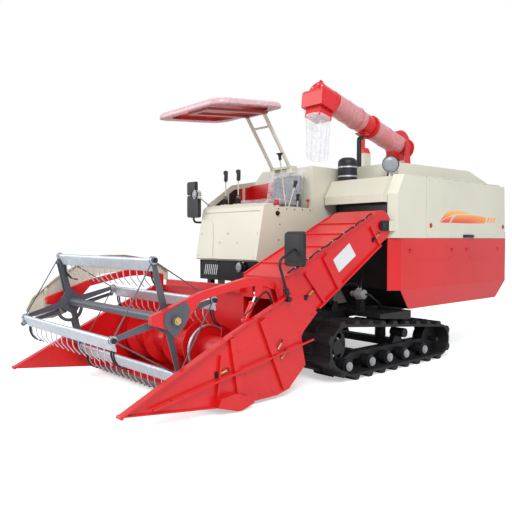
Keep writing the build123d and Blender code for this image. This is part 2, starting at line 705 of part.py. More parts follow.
post_xs = (-472, -198)
post_foot = (42, 2080)         # y, z
post_head = (-360, rail_z(-360) - 4)
rung_y = -270
rung_z = post_head[1] + (rung_y - post_head[0]) * (post_foot[1] - post_head[1]) / (post_foot[0] - post_head[0])
with BuildPart() as canopy_frame:
    for x in post_xs:
        rod((x, *post_foot), (x, *post_head), 20)
        beam((x, -1120, rail_z(-1120)), (x, -330, rail_z(-330)), 60, rail_depth)
        block(x - 35, x + 35, 20, tank_front_y - 0.5, 2040, 2120)
    for y in (-380, -1120):
        slab([(y, rail_z(y) - rail_depth / 2), (y + 50, rail_z(y + 50) - rail_depth / 2),
              (y + 50, rail_z(y + 50) + rail_depth / 2), (y, rail_z(y) + rail_depth / 2)],
             post_xs[0] - 30, post_xs[1] + 30)
    rod((post_xs[0], rung_y, rung_z), (post_xs[1], rung_y, rung_z), 12)
    block(post_xs[0] - 35, post_xs[1] + 35, 20, 110, tank_top_z + 0.5, 2120)
save(canopy_frame, "canopy_frame")

# ---------------------------------------------------------------- exhaust, air cleaner, lamps
with BuildPart() as exhaust:
    post(220, 720, 2118.8, 2440, 26)
    rod((220, 720, 2440), (220, 780, 2476), 26)
save(exhaust, "exhaust_pipe")

with BuildPart() as cleaner:
    post(262, 466, 1944.2, 2200, 105)
    fillet(cleaner.faces().sort_by(Axis.Z)[-1].edges(), 60)
save(cleaner, "air_cleaner")

front_lamp_x = -129
top_lamp = (-860, 1800)        # x, z of the lamp on the cowl's right-hand corner
side_lamp = (760, 546, 2087)
hood_top_z = 1944
with BuildPart() as lamps:
    rod((front_lamp_x, -710, 1026), (front_lamp_x, -770, 1026), 48)
    block(front_lamp_x - 12, front_lamp_x + 12, -712, -700.3, 1000, 1075)
    rod((top_lamp[0], -730, top_lamp[1]), (top_lamp[0], -790, top_lamp[1]), 50)
    rod((top_lamp[0], -735, top_lamp[1] - 20), (-885, -560, 1680), 8)
    block(-898, -872, -592, -528, 1672 + seat_play, 1686)
    rod((side_lamp[0] + 30, side_lamp[1] - 30, side_lamp[2]), (side_lamp[0], side_lamp[1], side_lamp[2]), 78)
    post(side_lamp[0], side_lamp[1], hood_top_z + seat_play, side_lamp[2], 12)
    block(side_lamp[0] - 40, side_lamp[0] + 40, side_lamp[1] - 25, side_lamp[1] + 25, hood_top_z + seat_play, 1950)
save(lamps, "work_lamps")

right_mirrors = (              # x, z, width, height
    (-995, 1677, 210, 245),
    (-1025, 1880, 150, 150),
)
with BuildPart() as right_mirror:
    pipe([(station_right_x - 24.2, -520, 1500), (-1000, -520, 1500), (-1000, -700, 1500), (-1000, -700, 1940)], 12, 40)
    for x, z, width, height in right_mirrors:
        mirror_head(x, -680, z, width, height)
save(right_mirror, "right_mirror")

# ---------------------------------------------------------------- feeder and header
feeder_top = [(header_rear_y, 990), (81, 1580)]
feeder_low = [(195, 1298), (-880, 640), (-975, 480), (-941, 240), (-1140, 66), (header_rear_y, 66)]
mouth_z = (100, 800)
feeder_flanges = (             # start, end of each flange as (y, z)
    ((-1170, 998), (0, 1545)),
    ((-770, 705), (120, 1250)),
)
feeder_ribs = (                # foot and head of each channel on the feeder's sides, its depth
    ((-688, 740), (-940, 1018), 26),
    ((-480, 868), (-690, 1162), 76),
    ((90, 1262), (-40, 1425), 20),
)
cross_ribs = (-960, -647, -400, -182)
feeder_slope = (feeder_top[1][1] - feeder_top[0][1]) / (feeder_top[1][0] - feeder_top[0][0])
feeder_skin_x = (feeder_right_x + feeder_wall + seat_play, feeder_left_x - feeder_wall - seat_play)
with BuildPart() as feeder:
    for low in (feeder_right_x, feeder_left_x - feeder_wall):
        slab(feeder_top + feeder_low, low, low + feeder_wall)
        disc(low, low + feeder_wall, feeder_pivot_y, feeder_pivot_z, feeder_end_radius)
    for start, end in ((feeder_right_x - 30, feeder_right_x + 5), (feeder_left_x - 5, feeder_left_x + 28)):
        disc(start, end, feeder_pivot_y, feeder_pivot_z, feeder_pin_radius)
    slab(feeder_top + feeder_low, *feeder_skin_x)
    disc(*feeder_skin_x, feeder_pivot_y, feeder_pivot_z, feeder_end_radius)
    slab(feeder_top + feeder_low, *feeder_skin_x, Mode.SUBTRACT, feeder_wall)
    disc(*feeder_skin_x, feeder_pivot_y, feeder_pivot_z, feeder_end_radius - feeder_wall, Mode.SUBTRACT)
    block(*feeder_skin_x, header_rear_y - 5, header_rear_y + 20, *mouth_z, Mode.SUBTRACT)
    for start, end in feeder_flanges:
        beam((feeder_left_x + 12, *start), (feeder_left_x + 12, *end), 26, 14)
        beam((feeder_right_x - 7, *start), (feeder_right_x - 7, *end), 16, 14)
    for foot, head, depth in feeder_ribs:
        beam((feeder_left_x + 10, *foot), (feeder_left_x + 10, *head), 22, depth)
    for y in cross_ribs:
        z = feeder_top[0][1] + (y - header_rear_y) * feeder_slope + 5
        beam((feeder_mid_x, y - 10, z - 10 * feeder_slope), (feeder_mid_x, y + 10, z + 10 * feeder_slope),
             feeder_width - 30, 12)
    for side in (-1, 1):
        x = lift_x + side * 24
        slab([(-470, 897), (-440, 845), (-405, 832), (-380, 850), (-350, 970)], x - 5, x + 5)
    disc(lift_x - 29, lift_x + 29, *lift_eye, lift_pin_radius)
save(feeder, "feeder_house")

trough = [(-1840, 48), (-1840, 60), (-1600, 86), (-1440, 92), (-1300, 106), (-1205, 190), (-1193.5, 190),
          (-1193.5, 172), (-1290, 94), (-1440, 80), (-1600, 74)]
with BuildPart() as floor:
    slab(trough, -header_in, header_in)
save(floor, "header_floor")

arm_lug = [(-1188, 760), (-1188, 940), (-1240, 950), (-1270, 900), (-1225, 760)]
with BuildPart() as rear_wall:
    block(-header_in, header_in, -1193, header_rear_y - 0.5, 60, 830)
    block(feeder_right_x + feeder_wall, feeder_left_x - feeder_wall, -1200, -1170, *mouth_z, Mode.SUBTRACT)
    block(-arm_x + 145, feeder_right_x - 1, -1225, -1165, 830, 890)
    for x in (-300, 100):
        slab([(-1165, 890), (-1165, 700), (-1180, 700), (-1181, 890)], x, x + 12)
    for x in (-arm_x, arm_x):
        for side in (-1, 1):
            low = x + side * 33 - 5
            slab(arm_lug, low, low + 10)
            disc(low, low + 10, arm_pivot_y, arm_pivot_z, 36)
        disc(x - 38, x + 38, arm_pivot_y, arm_pivot_z, arm_pin_radius)
save(rear_wall, "header_rear_wall")

left_plate = [(divider_tip_y, divider_tip_z), (-1713, 32), (-1274, 34), (-1140, 66), (-941, 238), (-1003, 492),
              (-796, 671), (-880, 760), (-1100, 850), (-1181, 840), (-1777, 591)]
right_plate = [(divider_tip_y, divider_tip_z), (-1713, 32), (-1274, 34), (-1140, 66), (-1110, 300), (-1110, 700),
               (-1181, 840), (-1777, 591)]
divider_ribs = (               # foot, head, depth of each channel on a side plate
    ((-1905, 120), (-1868, 440), 14),
    ((-1688, 118), (-1765, 560), 46),
    ((-1186, 82), (-1452, 668), 70),
)
skid = [(-1930, 66), (-1905, 128), (-1764, 146), (-1620, 100), (-1576, 44), (-1700, 8), (-1740, 8)]
stalk_x = header_half + 35     # the crop stalk rail and the mirror stand this far out


def divider(name, side, outline):
    """A header side plate with its flanges, ribs and skid; side is +1 on the left."""
    inner = side * header_in
    outer = side * header_half
    rim = outer + side * (flange_width - side_plate)
    with BuildPart() as plate:
        slab(outline, min(inner, outer), max(inner, outer))
        for foot, head, depth in divider_ribs:
            beam((outer + side * 11, *foot), (outer + side * 11, *head), 26, depth)
        middle = (inner + rim) / 2
        beam((middle, -2700, 152), (middle, -1777, 585), flange_width, 14)
        beam((outer + side * 6, -1777, 585), (outer + side * 6, -1200, 826), 38, 14)
        beam((outer + side * 4, -2700, 148), (outer + side * 4, -1720, 37), 30, 10)
        disc(min(inner, rim), max(inner, rim), -2702, 149, 14)
        slab(skid, min(outer, outer + side * 64), max(outer, outer + side * 64))
        if side > 0:
            disc(arm_x - 28, inner + 1, *reel_lift_base, lift_pin_radius)
            disc(inner - 12, inner + 1, *reel_lift_base, 30)
            rod((stalk_x, -2470, 151), (stalk_x, -880, 450), 9)
            for y, z in ((-2300, 183), (-1000, 427)):
                rod((header_half - 5, y, z), (stalk_x, y, z), 7)
    save(plate, name)


divider("divider_left", 1, left_plate)
divider("divider_right", -1, right_plate)

# Cutter bar: guards under a sliding knife
cutter_half = header_half - 25
knife_half = header_half - 65
guards = int(cutter_half / guard_pitch)
with BuildPart() as cutter:
    block(-cutter_half, cutter_half, -1880, -1840, 44, 60)
    for n in range(-guards, guards + 1):
        x = n * guard_pitch
        tray([(x - 16, -1878), (x - 4, -1945), (x + 4, -1945), (x + 16, -1878)], 42, 60)
save(cutter, "cutter_bar")

with BuildPart() as knife:
    block(-knife_half, knife_half, -1870, -1850, 60 + seat_play, 66)
    for n in range(1 - guards, guards):
        x = n * guard_pitch
        tray([(x - 36, -1868), (x - 8, -1920), (x + 8, -1920), (x + 36, -1868)], 60 + seat_play, 63)
save(knife, "knife")

# Crop auger: a drum with a left-hand and a right-hand flight, and fingers before the feeder
drum_half = header_half - 40
flight_ends = (-drum_half + 30, feeder_right_x - 10)
finger_rows = 4
with BuildPart() as crop_auger:
    disc(-drum_half, drum_half, auger_y, auger_z, auger_drum_radius)
    with BuildLine() as lead:
        Helix(auger_pitch, flight_ends[1] - flight_ends[0], (auger_radius + auger_drum_radius) / 2,
              center=(flight_ends[0], auger_y, auger_z), direction=(1, 0, 0))
    with BuildSketch(Plane(origin=lead.line @ 0, x_dir=(1, 0, 0), z_dir=lead.line % 0)) as blade:
        Rectangle(flight_thickness, auger_radius - auger_drum_radius + 8)
    sweep(blade.sketch, path=lead.line, is_frenet=True)
    disc(-drum_half + wall, drum_half - wall, auger_y, auger_z, auger_drum_radius - wall, Mode.SUBTRACT)
    disc(-header_in + seat_play, header_in - seat_play, auger_y, auger_z, 30)
    for end in (-drum_half + 14, drum_half - 24):
        disc(end, end + 10, auger_y, auger_z, auger_radius)
    for n in range(finger_rows):
        x = feeder_right_x + 90 + 110 * n
        for turn in (90 * n, 90 * n + 45):
            for half_turn in (0, 180):
                root = polar(auger_y, auger_z, auger_drum_radius - 6, turn + half_turn)
                tip = polar(auger_y, auger_z, auger_radius - 10, turn + half_turn)
                rod((x, *root), (x, *tip), 9)
save(crop_auger, "header_auger")

# Reel arms with the bearings at their ends
arm_outline = [(-1207, 930), (-1415, 1000), (-1560, 1004), (-1691, 980), (-2009, 917), (-2430, 775), (-2430, 715),
               (-2300, 672), (-2180, 672), (-2009, 855), (-1691, 918), (-1560, 934), (-1415, 937), (-1235, 885),
               (-1207, 900)]
eye_cheek = [(-1480, 950), (-1480, 850), (-1420, 850), (-1400, 950)]
bearing_plate = [(-2330, 700), (-2330, 790), (-2150, 860), (-2110, 800), (-2150, 700), (-2235, 610)]


def reel_arm(name, side):
    """A bent arm from its pivot on the rear wall to the reel's bearing; side is +1 on the left."""
    low = side * arm_x - arm_width / 2
    with BuildPart() as arm:
        slab(arm_outline, low, low + arm_width)
        disc(low, low + arm_width, reel_y, reel_z, 62)
        disc(low, low + arm_width, arm_pivot_y, arm_pivot_z, 30)
        disc(low - 1, low + arm_width + 1, reel_y, reel_z, shaft_radius + pin_play, Mode.SUBTRACT)
        disc(low - 1, low + arm_width + 1, arm_pivot_y, arm_pivot_z, arm_pin_radius + pin_play, Mode.SUBTRACT)
        if side > 0:
            slab(eye_cheek, low, low + 8)
            slab(eye_cheek, low + arm_width - 8, low + arm_width)
            disc(low, low + arm_width, *reel_lift_eye, reel_lift_pin_radius)
    save(arm, name)


reel_arm("reel_arm_left", 1)
reel_arm("reel_arm_right", -1)

with BuildPart() as bearings:
    for side in (-1, 1):
        face = side * (arm_x + arm_width / 2)
        plate_far = face + side * 8
        slab(bearing_plate, min(face, plate_far), max(face, plate_far))
        cap_far = plate_far + side * 14
        disc(min(face, cap_far), max(face, cap_far), reel_y, reel_z, 40)
    disc(-arm_x - 31, arm_x + 31, reel_y, reel_z, shaft_radius + pin_play, Mode.SUBTRACT)
save(bearings, "reel_bearings")

guard_outline = [(-2581, 649), (-2520, 765), (-2302, 936), (-2070, 1070), (-1832, 1150), (-1560, 1150), (-1308, 1110),
                 (-1140, 1040), (-1040, 960), (-1040, 860), (-1308, 960), (-1560, 985), (-1832, 960), (-2010, 880),
                 (-2180, 760), (-2200, 600), (-2330, 560), (-2450, 560)]
guard_far_x = -header_half - 85
guard_near_x = -header_half - 45
guard_braces = ((-2390, 745, 640, 850), (-1500, 985, 982, 1120))      # y, z of each stay, its pad's low z, high z
with BuildPart() as chain_guard:
    slab(guard_outline, guard_far_x, guard_near_x)
    slab(guard_outline, guard_far_x + 6, guard_near_x + 1, Mode.SUBTRACT, 6)
    for y in (-1780, -1700):
        block(guard_far_x - 1, guard_far_x + 7, y, y + 60, 1060, 1080, Mode.SUBTRACT)
    for y, z, pad_low, pad_high in guard_braces:
        block(guard_far_x + 2, guard_near_x - 4, y - 14, y + 14, pad_low, pad_high)
        rod((guard_far_x + 3, y, z), (-arm_x - arm_width / 2 - seat_play, y, z), 14)
save(chain_guard, "reel_drive_guard")

# Reel: two spiders with four arms on one tube
bar_angles = [first_bar + 90 * n for n in range(4)]


def spoke(y, z, turn, root_width, tip_width):
    """The outline of a tapered spoke from a hub at (y, z) to the reel's radius."""
    along = (cos(radians(turn)), sin(radians(turn)))
    across = (-along[1], along[0])
    corners = ((0, root_width / 2), (reel_radius, tip_width / 2), (reel_radius, -tip_width / 2), (0, -root_width / 2))
    return [(y + r * along[0] + w * across[0], z + r * along[1] + w * across[1]) for r, w in corners]


with BuildPart() as reel:
    disc(-spider_x, spider_x, reel_y, reel_z, 36)
    disc(-arm_x - 30, arm_x + 30, reel_y, reel_z, shaft_radius)
    for side in (-1, 1):
        low = side * spider_x - spider_plate / 2
        middle = side * spider_x
        slab([polar(reel_y, reel_z, 135, turn) for turn in bar_angles], low, low + spider_plate)
        for turn in bar_angles:
            tip = polar(reel_y, reel_z, reel_radius, turn)
            slab(spoke(reel_y, reel_z, turn, 64, 34), low, low + spider_plate)
            disc(low, low + spider_plate, *tip, 30)
            start = polar(*tip, 25, turn + 135)
            end = polar(*polar(reel_y, reel_z, reel_radius, turn + 90), 25, turn - 45)
            rod((middle, *start), (middle, *end), 5)
        for turn in bar_angles:
            tip = polar(reel_y, reel_z, reel_radius, turn)
            disc(low - 1, low + spider_plate + 1, *tip, tine_bar_radius + pin_play, Mode.SUBTRACT)
save(reel, "reel_frame")

eccentric_x = -spider_x - 34
crank_pin_radius = 9
with BuildPart() as eccentric:
    low = eccentric_x - 5
    centre_z = reel_z - eccentric_drop
    disc(low, low + 10, reel_y, centre_z, 130)
    for turn in bar_angles:
        slab(spoke(reel_y, centre_z, turn, 44, 30), low, low + 10)
        disc(low, low + 10, *polar(reel_y, centre_z, reel_radius, turn), 22)
    disc(low - 1, low + 11, reel_y, centre_z, 100, Mode.SUBTRACT)
    for turn in bar_angles:
        tip = polar(reel_y, centre_z, reel_radius, turn)
        disc(low - 1, low + 11, *tip, crank_pin_radius + pin_play, Mode.SUBTRACT)
save(eccentric, "reel_eccentric")

crank_x = -spider_x - 22
slat_half = spider_x - 14
for number, turn in enumerate(bar_angles, 1):
    bar_y, bar_z = polar(reel_y, reel_z, reel_radius, turn)
    edge_y = bar_y + 30
    edge_z = bar_z - slat_reach
    with BuildPart() as tine_bar:
        disc(crank_x, spider_x + 20, bar_y, bar_z, tine_bar_radius)
        capsule(-slat_half, slat_half, ((bar_y, bar_z, tine_bar_radius), (edge_y, edge_z, slat_edge_radius)))
        with BuildSketch(Plane.YZ.offset(3 - slat_half)) as inside:
            with Locations((bar_y, bar_z)):
                Circle(tine_bar_radius - 3)
            with Locations((edge_y, edge_z)):
                Circle(slat_edge_radius - 3)
            make_hull()
        extrude(inside.sketch, amount=2 * slat_half - 6, mode=Mode.SUBTRACT)
        for n in range(tines_per_bar):
            x = (n + 0.5 - tines_per_bar / 2) * 2 * (slat_half - 10) / tines_per_bar
            pipe([(x, edge_y + 2, edge_z - 7), (x, edge_y + 8, edge_z - 70),
                  (x, bar_y + tine_back, bar_z - tine_drop)], tine_radius, 70)
        slab([(bar_y - 20, bar_z), (bar_y - 14, bar_z - eccentric_drop), (bar_y + 14, bar_z - eccentric_drop),
              (bar_y + 20, bar_z)], crank_x, crank_x + 10)
        disc(crank_x, crank_x + 10, bar_y, bar_z, 24)
        disc(eccentric_x - 10, crank_x + 10, bar_y, bar_z - eccentric_drop, crank_pin_radius)
    save(tine_bar, f"tine_bar_{number}")

mirror_x = stalk_x
with BuildPart() as left_mirror:
    disc(header_half + seat_play, mirror_x + 12, -1174, 812, 11)
    pipe([(mirror_x, -1174, 812), (mirror_x, -1299, 1129), (mirror_x, -1120, 1225)], 11, 60)
    mirror_head(mirror_x, -1075, 1225, 190, 280)
save(left_mirror, "left_mirror")


# ---------------------------------------------------------------- lift cylinders
def cylinder(prefix, x, base, eye, barrel, ram, stroke, eye_radius, eye_half):
    """A barrel hinged at its base and a rod that ends in an eye.

    base and eye are (y, z) in one x plane, barrel is (length, radius) and ram is the rod's radius.
    """
    barrel_length, barrel_radius = barrel
    span = hypot(eye[0] - base[0], eye[1] - base[1])
    along = ((eye[0] - base[0]) / span, (eye[1] - base[1]) / span)

    def at(distance):
        return (x, base[0] + along[0] * distance, base[1] + along[1] * distance)

    with BuildPart() as tube:
        rod(at(20), at(barrel_length), barrel_radius)
        rod(at(barrel_length - 18), at(barrel_length - 4), barrel_radius + 5)
        rod(at(15), at(barrel_length + 1), ram + pin_play, Mode.SUBTRACT)
        disc(x - 20, x + 20, *base, barrel_radius)
        disc(x - 21, x + 21, *base, lift_pin_radius + pin_play, Mode.SUBTRACT)
    save(tube, f"{prefix}_barrel")
    with BuildPart() as piston:
        rod(at(barrel_length - stroke - 15), at(span - eye_radius + 5), ram)
        disc(x - eye_half, x + eye_half, *eye, eye_radius)
        disc(x - eye_half - 1, x + eye_half + 1, *eye, eye_radius - 9, Mode.SUBTRACT)
    save(piston, f"{prefix}_rod")


cylinder("header_lift", lift_x, lift_base, lift_eye, (330, 38), 18, 270, 34, 14)
cylinder("reel_lift", arm_x, reel_lift_base, reel_lift_eye, (165, 24), 10, 80, 24, 8)

# ---------------------------------------------------------------- unloading auger
rise = radians(unload_rise)


def on_tube(along, across, up):
    """A point along the resting tube from its swing axis, to its side and above its axis."""
    return (
        unload_x + across,
        unload_y - along * cos(rise) + up * sin(rise),
        unload_z + along * sin(rise) + up * cos(rise),
    )


def beside_tube(across):
    """An x plane whose own x runs along the tube and whose y is up from its axis."""
    return Plane(origin=on_tube(0, across, 0), x_dir=(0, -cos(rise), sin(rise)), z_dir=(-1, 0, 0))


with BuildPart() as cradle:
    tray([(unload_x - 60, 1000), (unload_x + 60, 1000), (unload_x + 60, 1120), (unload_x - 60, 1120)],
         tank_top_z, 2330)
    profile([(unload_x - 60, 2330), (unload_x - 160, 2190), (unload_x - 60, 2190)], 1050, 1062)
    profile([(unload_x - 60, 2330), (unload_x - 25, 2400), (unload_x + 25, 2400), (unload_x + 60, 2330)], 1000, 1120)
    saddle = on_tube(saddle_along, 0, -unload_radius - seat_play)
    post(unload_x, saddle[1], 2390, saddle[2] - 10, 30)
    with BuildSketch(Plane(origin=saddle, x_dir=(1, 0, 0), z_dir=(0, sin(rise), cos(rise)))) as pad:
        Rectangle(150, 90)
    extrude(pad.sketch, amount=-12)
save(cradle, "tube_cradle")

turret_low_z = 2192
with BuildPart() as auger_base:
    post(unload_x, unload_y, tank_top_z, tank_top_z + 15, 105)
    post(unload_x, unload_y, tank_top_z, turret_low_z - 2, 98)
save(auger_base, "unload_base")

cheek = [(unload_y - 70, 2240), (unload_y - 40, unload_z), (unload_y + 40, unload_z), (unload_y + 70, 2240)]
with BuildPart() as elbow:
    post(unload_x, unload_y, turret_low_z, 2290, 108)
    disc(unload_x - 160, unload_x + 160, unload_y, unload_z, 198, Mode.SUBTRACT)
    for side in (-1, 1):
        low = unload_x + side * (unload_radius + 16) - 8
        slab(cheek, low, low + 16)
        disc(low, low + 16, unload_y, unload_z, 48)
        disc(low - 1, low + 17, unload_y, unload_z, unload_pin_radius + pin_play, Mode.SUBTRACT)
    block(unload_x - 146, unload_x + 146, unload_y - 70, unload_y + 70, 2215, 2245)
    disc(unload_x - 120, unload_x + 120, unload_y, unload_z, 198, Mode.SUBTRACT)
save(elbow, "unload_elbow")

collars = ((-150, 14, 24), (600, 14, 22), (622, 14, 22), (890, 10, 12))   # along, length, height of each ring
bolt_count = 12
chute = [(1385, 15), (1650, 15), (1665, -20), (1640, -168), (1385, -168)]     # along, up
throat = [(1400, -150), (1600, -150), (1600, -268), (1400, -268)]
with BuildPart() as tube:
    rod(on_tube(-150, 0, 0), on_tube(unload_length, 0, 0), unload_radius)
    rod(on_tube(unload_length - 2, 0, 0), on_tube(unload_length + 10, 0, 0), unload_radius + 5)
    for along, length, height in collars:
        rod(on_tube(along, 0, 0), on_tube(along + length, 0, 0), unload_radius + height)
    for n in range(bolt_count):
        turn = radians(360 / bolt_count * (n + 0.5))
        reach = unload_radius + 11
        at = (reach * cos(turn), reach * sin(turn))
        rod(on_tube(594, *at), on_tube(642, *at), 6)
    disc(unload_x - unload_radius - 24, unload_x + unload_radius + 24, unload_y, unload_z, unload_pin_radius)
    disc(unload_x - 60, unload_x + 60, unload_y, unload_z, 192)
    with BuildSketch(beside_tube(head_half)) as side_face:
        close_face(chute, 0)
    extrude(side_face.sketch, amount=2 * head_half)
    with BuildSketch(beside_tube(110)) as throat_face:
        close_face(throat, 0)
    extrude(throat_face.sketch, amount=220)
    rod(on_tube(unload_length + 2, 0, 60), on_tube(unload_length + 22, 0, 60), 30)
    with BuildSketch(beside_tube(6)) as lifting_eye:
        close_face([(1530, 110), (1530, 165), (1575, 165), (1600, 110)], 0)
    extrude(lifting_eye.sketch, amount=12)
    rod(on_tube(unload_wall - 150, 0, 0), on_tube(unload_length - unload_wall, 0, 0), unload_radius - unload_wall,
        Mode.SUBTRACT)
    with BuildSketch(beside_tube(head_half - unload_wall)) as chute_inside:
        close_face([(1391, -8), (1643, -8), (1652, -26), (1634, -162), (1391, -162)], 0)
    extrude(chute_inside.sketch, amount=2 * (head_half - unload_wall), mode=Mode.SUBTRACT)
    with BuildSketch(beside_tube(100)) as throat_inside:
        close_face([(1410, -100), (1590, -100), (1590, -270), (1410, -270)], 0)
    extrude(throat_inside.sketch, amount=200, mode=Mode.SUBTRACT)
save(tube, "unload_tube")
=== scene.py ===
# %% [markdown]
# # A tracked combine harvester, dressed for its portrait
#
# The engineering model arrives as a frame: every casting, panel and shaft is already in place, at
# its real size, and rides on the body that moves it. This lesson only adds what the eye wants:
# paint, rubber, clear film, seams, tines and small fittings. Lengths are in metres, -Y is straight
# ahead for the driver, +X is the machine's left and +Z is up.

# %% Load the frame
import json
import math

import bmesh
import bpy
import numpy as np
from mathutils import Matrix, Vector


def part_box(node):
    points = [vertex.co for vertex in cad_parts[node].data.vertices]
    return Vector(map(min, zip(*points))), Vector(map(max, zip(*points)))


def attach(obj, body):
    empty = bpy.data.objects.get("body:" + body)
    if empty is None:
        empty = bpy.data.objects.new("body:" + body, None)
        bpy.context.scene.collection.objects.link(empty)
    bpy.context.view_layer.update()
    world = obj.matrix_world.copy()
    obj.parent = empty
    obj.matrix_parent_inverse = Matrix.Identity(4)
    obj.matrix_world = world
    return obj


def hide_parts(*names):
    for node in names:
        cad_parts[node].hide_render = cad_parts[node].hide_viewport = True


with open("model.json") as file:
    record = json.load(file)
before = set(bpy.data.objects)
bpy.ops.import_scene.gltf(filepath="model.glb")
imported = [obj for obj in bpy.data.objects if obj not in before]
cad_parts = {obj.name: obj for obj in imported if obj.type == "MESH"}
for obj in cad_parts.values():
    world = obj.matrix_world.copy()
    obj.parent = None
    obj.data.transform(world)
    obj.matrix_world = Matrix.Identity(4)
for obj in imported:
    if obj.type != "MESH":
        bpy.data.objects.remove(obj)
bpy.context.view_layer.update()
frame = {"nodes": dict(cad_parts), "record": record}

# %% [markdown]
# ## A small language for shaders
#
# Every finish below is a small sum of noises and masks. Such a sum can be wired by hand, at three
# lines for each plus sign, or written as Python. Here one class wraps a socket, so that
# `1 - mask * 0.3` adds its Math nodes by itself, and the formula can be read. Any other node comes
# from `Tree.node`, which takes the node's settings first and then its sockets.


# %% Sockets that can be added and multiplied
class Wire:
    """A shader socket that takes part in Python sums."""

    def __init__(self, tree, socket):
        self.tree = tree
        self.socket = socket

    def _sum(self, operation, *values):
        return self.tree.node("ShaderNodeMath", {"operation": operation}, dict(enumerate(values)))

    def __add__(self, other):
        return self._sum("ADD", self, other)

    def __radd__(self, other):
        return self._sum("ADD", other, self)

    def __sub__(self, other):
        return self._sum("SUBTRACT", self, other)

    def __rsub__(self, other):
        return self._sum("SUBTRACT", other, self)

    def __mul__(self, other):
        return self._sum("MULTIPLY", self, other)

    def __rmul__(self, other):
        return self._sum("MULTIPLY", other, self)

    def __gt__(self, other):
        return self._sum("GREATER_THAN", self, other)

    def __lt__(self, other):
        return self._sum("LESS_THAN", self, other)


class Tree:
    """The nodes of one material or of the world."""

    def __init__(self, material):
        self.nodes = material.node_tree.nodes
        self.links = material.node_tree.links

    def node(self, kind, settings=None, inputs=None, output=0):
        """A node of that kind. Settings are set first, then each input gets a value or a link."""
        made = self.nodes.new(kind)
        for name, value in (settings or {}).items():
            setattr(made, name, value)
        for name, value in (inputs or {}).items():
            self.feed(made.inputs[name], value)
        return Wire(self, made.outputs[output])

    def feed(self, socket, value):
        """Links a wire to a socket, or sets the socket's own value."""
        if isinstance(value, Wire):
            self.links.new(value.socket, socket)
        elif isinstance(value, tuple) and len(value) == 3 and socket.type == "RGBA":
            socket.default_value = (*value, 1.0)
        else:
            socket.default_value = value

    def place(self):
        """Object coordinates."""
        return self.node("ShaderNodeTexCoord", output="Object")

    def axes(self, place=None):
        """The three coordinates of a place as numbers."""
        split = self.nodes.new("ShaderNodeSeparateXYZ")
        self.feed(split.inputs[0], place or self.place())
        return [Wire(self, socket) for socket in split.outputs]

    def noise(self, scale, detail=3.0, rough=0.55, place=None):
        """Soft noise from 0 to 1 at that many waves a metre."""
        sockets = {"Vector": place or self.place(), "Scale": scale, "Detail": detail, "Roughness": rough}
        return self.node("ShaderNodeTexNoise", {"noise_dimensions": "3D"}, sockets)

    def soft(self, value, low, high):
        """0 below low, 1 above high, smooth between them."""
        return self.node("ShaderNodeMapRange", {"interpolation_type": "SMOOTHSTEP"},
                         {"Value": value, "From Min": low, "From Max": high})

    def mix(self, share, first, second):
        """A colour between two colours."""
        made = self.nodes.new("ShaderNodeMix")
        made.data_type = "RGBA"
        self.feed(made.inputs["Factor"], share)
        self.feed(made.inputs[6], first)
        self.feed(made.inputs[7], second)
        return Wire(self, made.outputs[2])

    def bump(self, height, strength, distance=0.001):
        """A normal bent by a height."""
        sockets = {"Height": height, "Strength": strength, "Distance": distance}
        return self.node("ShaderNodeBump", None, sockets)


def new_material(name, colour, roughness=0.5, metallic=0.0, **sockets):
    """A Principled material and its tree; sockets are set by name, with _ for spaces."""
    material = bpy.data.materials.new(name)
    material.use_nodes = True
    tree = Tree(material)
    surface = tree.nodes["Principled BSDF"]
    tree.surface = surface
    tree.feed(surface.inputs["Base Color"], colour)
    tree.feed(surface.inputs["Roughness"], roughness)
    tree.feed(surface.inputs["Metallic"], metallic)
    for name, value in sockets.items():
        tree.feed(surface.inputs[name.replace("_", " ").title().replace("Ior", "IOR")], value)
    material.diffuse_color = (*colour, 1.0)
    return material, tree


print("shader language ready")

# %% [markdown]
# ## Paint
#
# The machine is new: pressed sheet under gloss enamel. A single flat colour would look like paper,
# because real enamel thins and dulls a little from panel to panel, its film has a fine orange peel,
# and dust settles near the ground. Each of those is one small term below, so one function serves
# the red, the cream and both greys.


# %% Enamels
dust_brown = (0.42, 0.36, 0.28)


def enamel(name, colour, shade, gloss=0.28, dust=0.25):
    """Gloss enamel: two close shades by slow noise, orange peel, and dust that fades out upwards."""
    material, tree = new_material(name, colour, coat_weight=0.18, coat_roughness=0.12)
    slow = tree.noise(1.7, 2.0)
    fine = tree.noise(55.0, 4.0)
    height = tree.axes()[2]
    low_down = 1 - tree.soft(height, 0.05, 0.9)
    dusty = low_down * tree.soft(fine * 0.4 + tree.noise(6.0) * 0.6, 0.42, 0.7) * dust
    painted = tree.mix(tree.soft(slow, 0.3, 0.7), colour, shade)
    tree.feed(tree.surface.inputs["Base Color"], tree.mix(dusty, painted, dust_brown))
    tree.feed(tree.surface.inputs["Roughness"], gloss + slow * 0.12 + dusty * 0.6)
    peel = tree.noise(420.0, 2.0)
    tree.feed(tree.surface.inputs["Normal"], tree.bump(peel, 0.10, 0.0006))
    return material


cream_tone = (0.63, 0.615, 0.50)
red_enamel = enamel("red enamel", (0.64, 0.006, 0.008), (0.58, 0.005, 0.007), 0.28, 0.03)
cream_enamel = enamel("cream enamel", cream_tone, (0.60, 0.585, 0.475), 0.32, 0.06)
dark_grey_enamel = enamel("dark grey enamel", (0.075, 0.085, 0.105), (0.062, 0.070, 0.088), 0.36, 0.1)
cap_grey_enamel = enamel("light grey enamel", (0.36, 0.37, 0.38), (0.30, 0.31, 0.32), 0.42, 0.4)
print("enamels ready")

# %% [markdown]
# ## Rubber, bare metal and the rest
#
# Track rubber is nearly black, matt and powdered with pale dust in its hollows. The reel's slats
# are zinc plated, which shows as soft crystals, and the knife is ground steel. An image of zinc
# would need a map on every part; Voronoi cells in object space give the crystals at their real
# size on any part that wears them.


